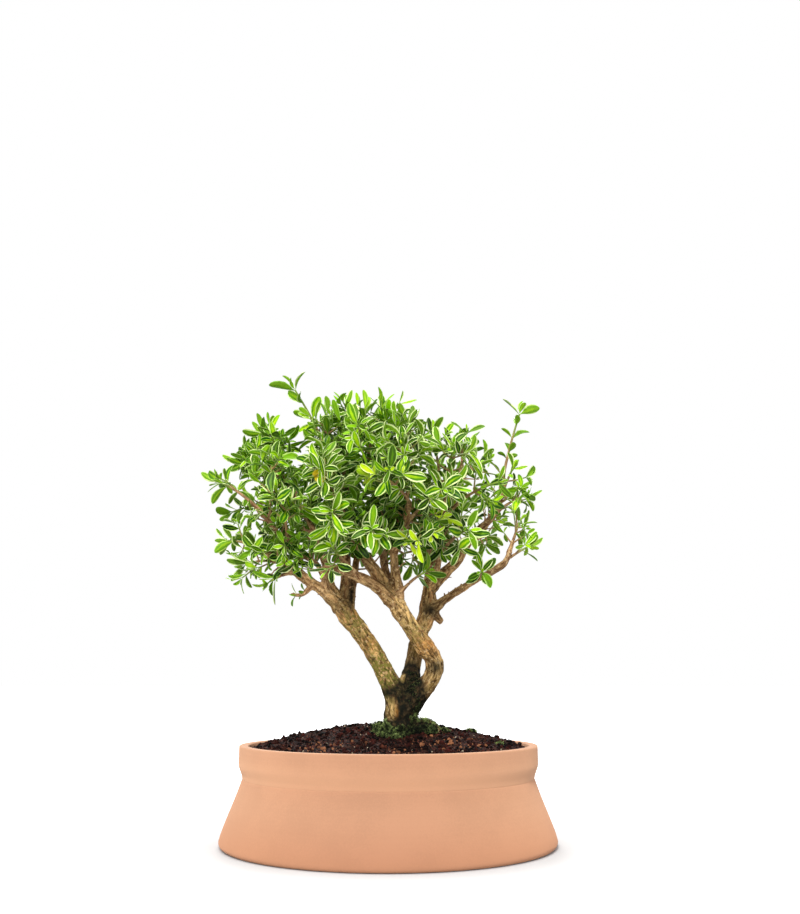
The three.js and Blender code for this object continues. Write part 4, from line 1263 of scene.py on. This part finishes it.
class Crowd:
    """Remembers where leaves are, and says how much room a new one has."""

    CELL = 0.004

    def __init__(self):
        self.cells = {}

    def key(self, point):
        return tuple(math.floor(c / self.CELL) for c in point)

    def near(self, point):
        """The distance to the nearest leaf, or a cell's size where none is that near."""
        x, y, z = self.key(point)
        around = (-1, 0, 1)
        cells = [(x + i, y + j, z + k) for i in around for j in around for k in around]
        found = [(other - point).length for cell in cells for other in self.cells.get(cell, ())]
        return min([self.CELL, *found])

    def points(self, leaf):
        return [leaf["at"] + leaf["along"] * leaf["length"] * share for share in (0.35, 0.65, 0.95)]

    def room(self, leaf):
        return min(self.near(point) for point in self.points(leaf))

    def add(self, leaf):
        for point in self.points(leaf):
            self.cells.setdefault(self.key(point), []).append(point)


def blade_faces():
    """A blade's closed foot, its walls, and the fan round its tip."""
    rings, sides = len(LEAF_OUTLINE), len(LEAF_SECTION)
    last, tip = (rings - 1) * sides, rings * sides
    faces = [tuple(range(sides))] + [wall[::-1] for wall in walls(rings, sides)]
    return faces + [(last + (k + 1) % sides, last + k, tip) for k in range(sides)]


BLADE_FACES = blade_faces()
BLADE_VALUES = np.array([
    *[(column, share, 0.5 + 0.5 * over) for share, _ in LEAF_OUTLINE for column, over in LEAF_SECTION],
    (0.95, 1, 0.5),
])


def add_leaf(shape, leaf, chance):
    """One blade: folded along its midrib, arched, slightly twisted and waved at its edge."""
    at, along, across, length = leaf["at"], leaf["along"], leaf["across"], leaf["length"]
    up = along.cross(across)
    fold = 0.15 + 0.40 * chance.random()
    arch = length * (0.03 + 0.42 * chance.random() ** 1.3)
    twist = 1.1 * (chance.random() - 0.5)
    wave = 0.14 * chance.random()
    beat = 2 * math.pi * chance.random()
    bend = 0.20 * length * (chance.random() - 0.5)

    def rib(share):
        middle = at + along * share * length * (1 - 0.12 * arch / length * share)
        return middle + across * bend * math.sin(math.pi * share) - up * arch * (share ** 2 - 0.55 * share)

    corners = []
    for share, outline in LEAF_OUTLINE:
        middle = rib(share)
        turn = twist * share
        side = across * math.cos(turn) + up * math.sin(turn)
        lift = up * math.cos(turn) - across * math.sin(turn)
        wide = leaf["width"] / 2 * outline
        for column, over in LEAF_SECTION:
            out = abs(column)
            rise = fold * wide * out ** 1.3
            rise += wave * wide * out * math.sin(2.5 * math.pi * share + beat + column)
            thick = LEAF_THICKNESS / 2 * (1 - 0.4 * out) * (0.5 if share > 0.9 else 1)
            corners.append(middle + side * wide * column + lift * (rise + over * thick))
    corners.append(rib(1))
    shape.add(corners, BLADE_FACES, 0, blade=BLADE_VALUES,
              leaf_tone=(leaf["tone"], leaf["youth"], leaf["cream"]),
              leaf_age=(leaf["ripe"], 40 * chance.random(), leaf["shade"]))


def add_twig(shape, stations, green_start, green_end):
    """A round twig through stations of (place, radius), from one share of green to another."""
    rows = np.array([(*at, radius) for at, radius in stations])
    turns = even_turns(TWIG_SIDES)
    corners = []
    for row, (_, across, other) in zip(rows, ring_frames(rows)):
        spread = np.outer(np.cos(turns), across) + np.outer(np.sin(turns), other)
        corners.append(row[:3] + spread * row[3])
    greens = np.zeros((len(rows) * TWIG_SIDES, 3))
    greens[:, 0] = np.repeat(np.linspace(green_start, green_end, len(rows)), TWIG_SIDES)
    shape.add(np.vstack(corners), tube_faces(len(rows), TWIG_SIDES), 1, leaf_tone=greens)


def clothed(place):
    """Whether leafy twigs also grow further in along the branches at this place."""
    lowest = CLOTHED_SIDE_HEIGHT if place.x < CLOTHED_SIDE else CLOTHED_HEIGHT
    outermost = place.x > OUTER_RIGHT and place.z < OUTER_TOP
    return place.z > lowest and (CLOTHED_LEFT < place.x < CLOTHED_RIGHT or outermost)


class Leafage:
    """Leaves and leafy side twigs that keep clear of all others in the crown."""

    def __init__(self, number, crowd):
        self.number = number
        self.crowd = crowd
        self.shape = Shape()
        self.chance = np.random.default_rng(1000 + number)
        self.shoot = False

    def leaf(self, knot, side, size, lean, youth, must):
        """Places a leaf on one side of a knot, turned until it keeps clear of the others."""
        chance = self.chance
        outward = knot.outward(side)
        level = knot.along.cross(outward)
        roll = chance.normal(0, 0.9 if self.shoot else 0.5)
        stray = chance.normal(0, 0.14 if must else 0.25, 2)
        most = -1
        for tilt, yaw in LEAF_TURNS:
            along = way_out(knot.along, outward, lean + tilt + stray[0], yaw + stray[1])
            across = square_to(level, along)
            across = across * math.cos(roll) + along.cross(across) * math.sin(roll)
            tried = {"at": knot.at + outward * knot.half * 0.6, "along": along, "across": across,
                     "length": LEAF_LENGTH * size}
            room = self.crowd.room(tried)
            if room > most:
                most = room
                leaf = tried
            if room > ROOMY:
                break
        if most < CRAMPED and not must:
            return
        self.crowd.add(leaf)
        tip = leaf["at"] + leaf["along"] * leaf["length"]
        # deeper inside the crown leaves are more often dark and less often cream-edged, and carry more
        # painted shade
        inside = 1 - min(1, (tip - CROWN_HEART).length / CROWN_REACH)
        dark = chance.random() < 0.44 + 0.9 * inside
        leaf["width"] = LEAF_WIDTH * size ** 0.8 * (0.84 + 0.32 * chance.random())
        leaf["tone"] = held(chance.normal(0.06 if dark else 0.62, 0.16))
        leaf["youth"] = min(1, youth * (0.5 + 0.8 * chance.random()))
        leaf["cream"] = chance.random() ** 1.4 * (1 - inside)
        leaf["shade"] = inside ** 0.8 * (0.6 + 0.4 * chance.random())
        leaf["ripe"] = 0.9 if (tip - RIPE_PLACE).length < RIPE_REACH else 0
        if self.number in BOLD_SPRAYS:
            leaf["cream"] = 0.7 + 0.3 * chance.random()
            leaf["width"] *= 1.1
        if self.shoot:
            leaf["width"] *= 1.25
        if self.number in LIME_SPRAYS and youth > 0.2:
            leaf.update(youth=1, tone=0.9, ripe=0.12)
            leaf["width"] *= 0.8
            leaf["length"] *= 0.85
        add_leaf(self.shape, leaf, chance)

    def pair(self, knot, sides, key, size=1.0, lean=None, youth=0.1, must=False):
        """Leaves on two sides of a knot; those that aren't a must may be small or missing."""
        for side in sides:
            own_size = size * (0.85 + 0.35 * draw(self.number, key, 2 + side))
            if not must:
                own_size *= 0.64 + 0.36 * self.chance.random()
            if knot.at.x > THIN_RIGHT:
                own_size *= 0.82
            own_lean = (lean or knot.lean) + LEAN_SPREAD * draw(self.number, key, 6 + side)
            self.leaf(knot, side, own_size, own_lean, youth, must)

    def tuft(self, knot, sides, key, back, youth, must=True):
        """Crossed pairs close together at a twig's end, the last of them young and upright."""
        other = UPRIGHT if sides == ACROSS else ACROSS
        self.pair(knot, sides, key, youth=youth, must=must)
        if knot.at.x < THIN_RIGHT:
            second, third = knot.moved(back(TUFT_SECOND)), knot.moved(back(TUFT_THIRD))
            self.pair(second, other, key + 100, 1.0, knot.lean + 0.1, 0.3 * youth)
            self.pair(third, sides, key + 200, 0.9, knot.lean + 0.25, 0.1 * youth)
        tall = knot.at.z > TALL_HEIGHT and knot.at.x < TOP_RIGHT
        above = knot.moved(knot.at + knot.along * (TALL_TIP if tall else 0.001))
        if tall:
            add_twig(self.shape, [(knot.at, TWIG_TIP), (above.at, SIDE_TIP)], 0.9, 1.0)
        self.pair(above, other, key + 300, 0.9 if tall else 0.55, 0.25, min(1, youth + 0.45))

    def side_twig(self, knot, side, key, scale=1.0, must=True):
        """A leafy twig on one side of a knot; one that isn't a must grows only where it has room."""
        outward = knot.outward(side)
        length = scale * (SIDE_LENGTH + SIDE_SPREAD * draw(self.number, key, 12 + side))
        lean = TWIG_LEAN + LEAN_SPREAD * draw(self.number, key, 8 + side)
        along = way_out(knot.along, outward, lean, 0)
        start = knot.at + outward * knot.half * 0.3
        level = knot.along.cross(outward).normalized()
        bow = level * 0.0022 * (self.chance.random() - 0.5)
        stations = []
        for share in np.linspace(0, 1, 6):
            sag = UP * 0.0012 * share * share + bow * math.sin(math.pi * share)
            at = start + along * length * share + sag
            stations.append((at, TWIG_TIP + (SIDE_TIP - TWIG_TIP) * share))
        if not must and self.crowd.near(at) < TWIG_ROOM:
            return
        add_twig(self.shape, stations, 0.3 if must else 0.0, 0.9)
        sides = UPRIGHT if draw(self.number, key, 20 + side) < 0.5 else ACROSS
        youth = 0.1 + 0.5 * self.chance.random() ** 2
        end = Knot(at, along, level, SIDE_TIP)
        self.tuft(end, sides, 10 * key + side, lambda away: at - along * away, youth, must)

    def small_twigs(self, knot, keys, scale):
        """Two short leafy twigs on the sides of a branch, where they have room."""
        for side, key in zip(ACROSS, keys):
            self.side_twig(knot, side, key, scale, False)


class Spray(Leafage):
    """One leafy spray, laid by the same rule as its solid, with finer and more leaves."""

    def __init__(self, plan, crowd):
        super().__init__(plan["number"], crowd)
        self.kind = KINDS[plan["kind"]]
        self.shoot = plan["kind"] == "shoot"
        self.leader = plan["curve"]
        self.seat = plan["seat"]
        self.carrier_radius = plan["radius"]
        foot = self.leader.at(self.seat)
        handle = foot + self.leader.along(self.seat) * 0.45 * (plan["tip"] - foot).length
        self.curve = Bow(foot, handle, plan["tip"])

    def clothe_leader(self):
        """Short leafy twigs along the bare branch that carries the spray, high in the crown only."""
        place = self.carrier_radius + 0.006 + 0.004 * draw(self.number, 5, 5)
        turn = 6 * draw(self.number, 6, 6)
        key = 60
        while place < self.seat * self.leader.length - 0.003:
            knot = knot_on(self.leader, place / self.leader.length, turn, LEADER_RADIUS)
            if clothed(knot.at):
                self.small_twigs(knot, (key, key + 1), LEADER_TWIG_SCALE)
                key += 2
            turn += 1.35
            place += TUFT_STEP if knot.at.z < 0.25 else 0.6 * TUFT_STEP

    def grow(self):
        """The spray's own twig, and at each knot the pair of leaves or side twigs that its solid has."""
        curve = self.curve
        foot = 1.15 * TWIG_SEAT
        shares = np.linspace(0, 1, max(6, int(curve.length / 0.003)))
        stations = [(curve.at(share), foot + (TWIG_TIP - foot) * share) for share in shares]
        add_twig(self.shape, stations, 0.0, 1.0)
        across = knot_on(curve, 0, 2 * math.pi * draw(self.number, 0, 1), foot).across
        pairs = self.kind["pairs"]
        for i, (grows, share) in enumerate(pairs, 1):
            last = i == len(pairs)
            along = curve.along(share)
            across = square_to(across, along)
            knot = Knot(curve.at(share), along, across, TWIG_SEAT + (TWIG_TIP - TWIG_SEAT) * share,
                        self.kind["last_lean"] if last else LEAF_LEAN)
            sides, other = (ACROSS, UPRIGHT) if i % 2 else (UPRIGHT, ACROSS)
            if grows == "twigs":
                for side in sides:
                    self.side_twig(knot, side, i)
            elif self.shoot:
                self.pair(knot, sides, i, 0.8 + 0.35 * share, 0.75, 0.2 + 0.5 * share, True)
                if last:
                    self.pair(knot.moved(knot.at + along * 0.001), other, 300, 0.8, 0.25, 0.9, True)
                elif share < 0.5:
                    self.pair(knot.moved(curve.at(share - 0.12)), other, 499 + i, 0.7, None, 0.2, True)
            elif last:
                self.tuft(knot, sides, i, lambda away: curve.at(1 - away / curve.length), 0.35)
            else:
                self.pair(knot, sides, i, must=True)
                if self.kind["reach"] > 0.03 and clothed(knot.at):
                    for side in other:
                        self.side_twig(knot, side, 39 + i, 0.8)
        if not self.shoot and knot.at.z > TOP_HEIGHT and knot.at.x < TOP_RIGHT:
            self.thicken()

    def thicken(self):
        """More small twigs between the pairs, for the dense top of the crown."""
        for key, share in enumerate((0.12, 0.25, 0.42, 0.55, 0.80), 80):
            knot = knot_on(self.curve, share, 6 * self.chance.random(), TWIG_SEAT)
            self.small_twigs(knot, (key, key), TOP_TWIG_SCALE)


def leafy_spurs(crowd):
    """Short leafy twigs straight on the branches, which fill the inside of the crown."""
    growth = Leafage(200, crowd)
    key = 0
    for bends in BRANCHES.values():
        rows = walk(bends, 0.001)
        frames = ring_frames(rows)
        for i in range(5, len(rows) - 2, SPUR_ROWS):
            along, across, other = frames[i]
            turn = 2 * math.pi * growth.chance.random()
            out = across * math.cos(turn) + other * math.sin(turn)
            knot = Knot(Vector(rows[i][:3]), along, out, rows[i][3])
            key += 1
            if clothed(knot.at):
                growth.small_twigs(knot, (key, key), SPUR_SCALE)
    for point in SPUR_TIPS:
        key += 1
        knot = Knot(Vector(point), Vector((-1, 0, 0.1)).normalized(), Vector((0, 1, 0)), 0.001)
        growth.pair(knot, UPRIGHT, key, 0.55)
        growth.pair(knot, ACROSS, key + 100, 0.45)
    return growth


def make_foliage(plans):
    """Every spray first grows what its solid has, and only then fills the crown behind it."""
    crowd = Crowd()
    materials = [leaf_blade(), green_twig()]
    sprays = [Spray(plan, crowd) for plan in plans]
    for spray in sprays:
        spray.grow()
    for spray in sprays:
        spray.clothe_leader()
    for spray in sprays:
        name = f"foliage_{spray.number:02d}"
        piece(name, spray.shape.mesh(name, 60), materials, [f"leaf_spray_{spray.number:02d}"])
    piece("leafy_spurs", leafy_spurs(crowd).shape.mesh("leafy_spurs", 60), materials)


def add_dry_twig(shape, row, directions, chance):
    """A thin leafless twig, or a short dead spur, at one row of a branch."""
    along, across, other = directions
    turn = 2 * math.pi * chance.random()
    out = across * math.cos(turn) + other * math.sin(turn)
    spur = chance.random() < 0.45 or row[2] < DRY_TWIG_HEIGHT
    length = 0.0018 + 0.0022 * chance.random() if spur else 0.008 + 0.014 * chance.random()
    way = way_out(along, out, 0.7 + 0.6 * chance.random(), 0)
    start = Vector(row[:3]) + out * row[3] * 0.4
    bow = along.cross(out) * length * 0.25 * (chance.random() - 0.5) + UP * 0.08 * length
    foot = 0.0010 if spur else 0.00055 + 0.0003 * chance.random()
    stations = []
    for share in np.linspace(0, 1, 4 if spur else 7):
        kink = Vector(chance.random(3) - 0.5) * 0.0007 * share
        at = start + way * length * share + bow * share ** 2 + kink
        stations.append((at, foot * (1 - 0.55 * share)))
    add_twig(shape, stations, 0.0, 0.0)


def make_dry_twigs():
    """Thin leafless twigs and spurs on the branches inside the crown."""
    chance = np.random.default_rng(3)
    shape = Shape()
    for bends in (*BRANCHES.values(), STEMS["middle"][5:], STEMS["left"][4:], STEMS["right"][6:]):
        rows = walk(bends, 0.0008)
        frames = ring_frames(rows)
        for _ in range(int(lengths_along(rows)[-1] / DRY_TWIG_STEP)):
            i = chance.integers(3, len(rows) - 2)
            add_dry_twig(shape, rows[i], frames[i], chance)
    mesh = shape.mesh("dry_twigs", 60)
    places = corner_rows(mesh.vertices, "co")
    write_values(mesh, "fibre", places)
    write_values(mesh, "patina_and_shade", np.zeros_like(places))
    write_values(mesh, "relief", np.tile((0, 0.5, 1), (len(places), 1)))
    mesh.polygons.foreach_set("material_index", [0] * len(mesh.polygons))
    piece("dry_twigs", mesh, [bpy.data.materials["bark"]])


def add_sprig(shape, at, out, size, tone, chance):
    """A few short spikes of moss from one point."""
    for _ in range(3):
        way = (out + Vector(chance.random(3) - 0.5) * 1.3).normalized()
        side = way.orthogonal().normalized() * 0.16 * size
        other = way.cross(side)
        corners = [at - way * 0.0003 + side * math.cos(a) + other * math.sin(a) for a in (0, 2.09, 4.19)]
        corners.append(at + way * size * (0.7 + 0.6 * chance.random()))
        shape.add(corners, [(0, 2, 1), (0, 1, 3), (1, 2, 3), (2, 0, 3)],
                  sprig=[(tip, tone, 0) for tip in (0, 0, 0, 1)])


def make_moss(wood):
    """Moss on the trunk's foot, the surface root and the fork, and in cushions on the soil; its tones
    carry painted shade in the hollow by the root and in the fork, and painted light on the cushions' tops.
    """
    chance = np.random.default_rng(5)
    shape = Shape()
    places = corner_rows(wood.data.vertices, "co")
    normals = corner_rows(wood.data.vertex_normals, "vector")
    cover = np.clip(covered(places, MOSS_ON_WOOD), 0, 1) * (places[:, 2] > MOSS_FOOT)
    clumps = np.array([noise.noise(Vector(place) / MOSS_CLUMP_SIZE) for place in places])
    grown = np.flatnonzero(cover * (0.75 + clumps) > 0.35)
    for i in chance.choice(grown, min(len(grown), SPRIGS_ON_WOOD), replace=False):
        size = SPRIG_LENGTH * (1 + chance.random())
        # sprigs in the hollow between trunk and surface root, and in the fork, are dark: painted shade
        hollow = 0.012 < places[i, 0] < 0.028 and places[i, 2] < 0.0825
        tone = 0.05 if hollow or places[i, 2] > DARK_MOSS_HEIGHT else 0.35 + 1.8 * clumps[i]
        tone = held(chance.normal(tone, 0.15))
        add_sprig(shape, Vector(places[i]), Vector(normals[i]), size, tone, chance)
    lump, faces = icosphere(2)
    for *sizes, tone in MOSS_CUSHIONS:
        x, y, radius, rise = metres(sizes)
        foot = Vector((x, y, soil_height(x, y)))
        spread = Vector((radius, radius, rise))
        rough = 0.55 + 0.5 * chance.random((len(lump), 1))
        shape.add(lump * tuple(spread) * rough + tuple(foot), faces, sprig=(0.15, tone, 0))
        for _ in range(int(SPRIGS_PER_AREA * radius * (radius + rise))):
            out = Vector(chance.normal(size=3)).normalized()
            out.z = abs(out.z)
            at = foot + out * spread
            # sprigs that face up are lighter: painted light on the cushions' tops; the noise gives random
            # tone
            bright = tone * (0.1 + 0.7 * out.z + 3.4 * noise.noise(at / 0.0019))
            bright = held(chance.normal(bright, 0.16))
            add_sprig(shape, at, out, SPRIG_LENGTH + 0.0008 * chance.random(), bright, chance)
    piece("moss", shape.mesh("moss", 50), [moss()])


# Floor, light and camera


def make_stage():
    """A white floor that brightens away from the pot, so that it runs into the background."""
    shape = Shape()
    square = [(-FLOOR_REACH, -FLOOR_REACH, 0), (FLOOR_REACH, -FLOOR_REACH, 0),
              (FLOOR_REACH, FLOOR_REACH, 0), (-FLOOR_REACH, FLOOR_REACH, 0)]
    shape.add(square, [(0, 1, 2, 3)])
    material, nodes, shader = new_material("white_floor", 0.95, 0.0)
    shader["Base Color"].default_value = (FLOOR_WHITE, FLOOR_WHITE, FLOOR_WHITE, 1)
    shader["Emission Color"].default_value = (1, 1, 1, 1)
    away = nodes.add("VectorMath", [nodes.place()], operation="LENGTH")["Value"]
    near = nodes.range(away, FOOT_RADIUS, SHADOW_EDGE, FLOOR_GLOW_AT_POT, FLOOR_GLOW)
    far = nodes.range(away, SHADOW_EDGE, GLOW_EDGE, 0, 1 - FLOOR_GLOW)
    seen = nodes.add("LightPath")["Is Camera Ray"]
    nodes.feed(shader["Emission Strength"], nodes.times(nodes.plus(near, far), seen))
    floor = placed("floor", shape.mesh("floor"))
    floor.data.materials.append(material)


def make_light():
    """Soft even light from all round, and large lamps in front, overhead and behind."""
    scene = bpy.context.scene
    world = bpy.data.worlds.new("white_room")
    world.use_nodes = True
    nodes = Nodes(world.node_tree)
    seen = nodes.add("LightPath")["Is Camera Ray"]
    background = world.node_tree.nodes["Background"].inputs
    background["Color"].default_value = (1, 1, 1, 1)
    nodes.feed(background["Strength"], nodes.plus(AMBIENT, nodes.times(seen, 1 - AMBIENT)))
    scene.world = world
    scene.view_settings.view_transform = "Standard"
    scene.view_settings.look = "None"
    for name, (place, width, power) in LAMPS.items():
        lamp = bpy.data.lights.new(name, "AREA")
        lamp.shape = "DISK"
        lamp.size = width
        lamp.energy = power
        made = placed(name, lamp)
        made.location = place
        made.rotation_euler = (LAMP_TARGET - Vector(place)).to_track_quat("-Z", "Y").to_euler()
        made.visible_camera = False


def make_camera():
    """The camera that sees the bonsai as the photograph shows it."""
    camera = bpy.data.cameras.new("photo_view")
    camera.lens = CAMERA_LENS
    camera.sensor_width = 36
    made = placed("photo_view", camera)
    made.location = CAMERA_PLACE
    made.rotation_euler = (math.pi / 2 + CAMERA_TILT, 0, 0)
    bpy.context.scene.camera = made


make_camera()
make_light()
make_stage()
make_pot()
make_screens()
make_soil()
make_crumbs()
spray_list = spray_plans()
wood = make_wood(spray_list)
make_roots()
make_foliage(spray_list)
make_dry_twigs()
make_moss(wood)
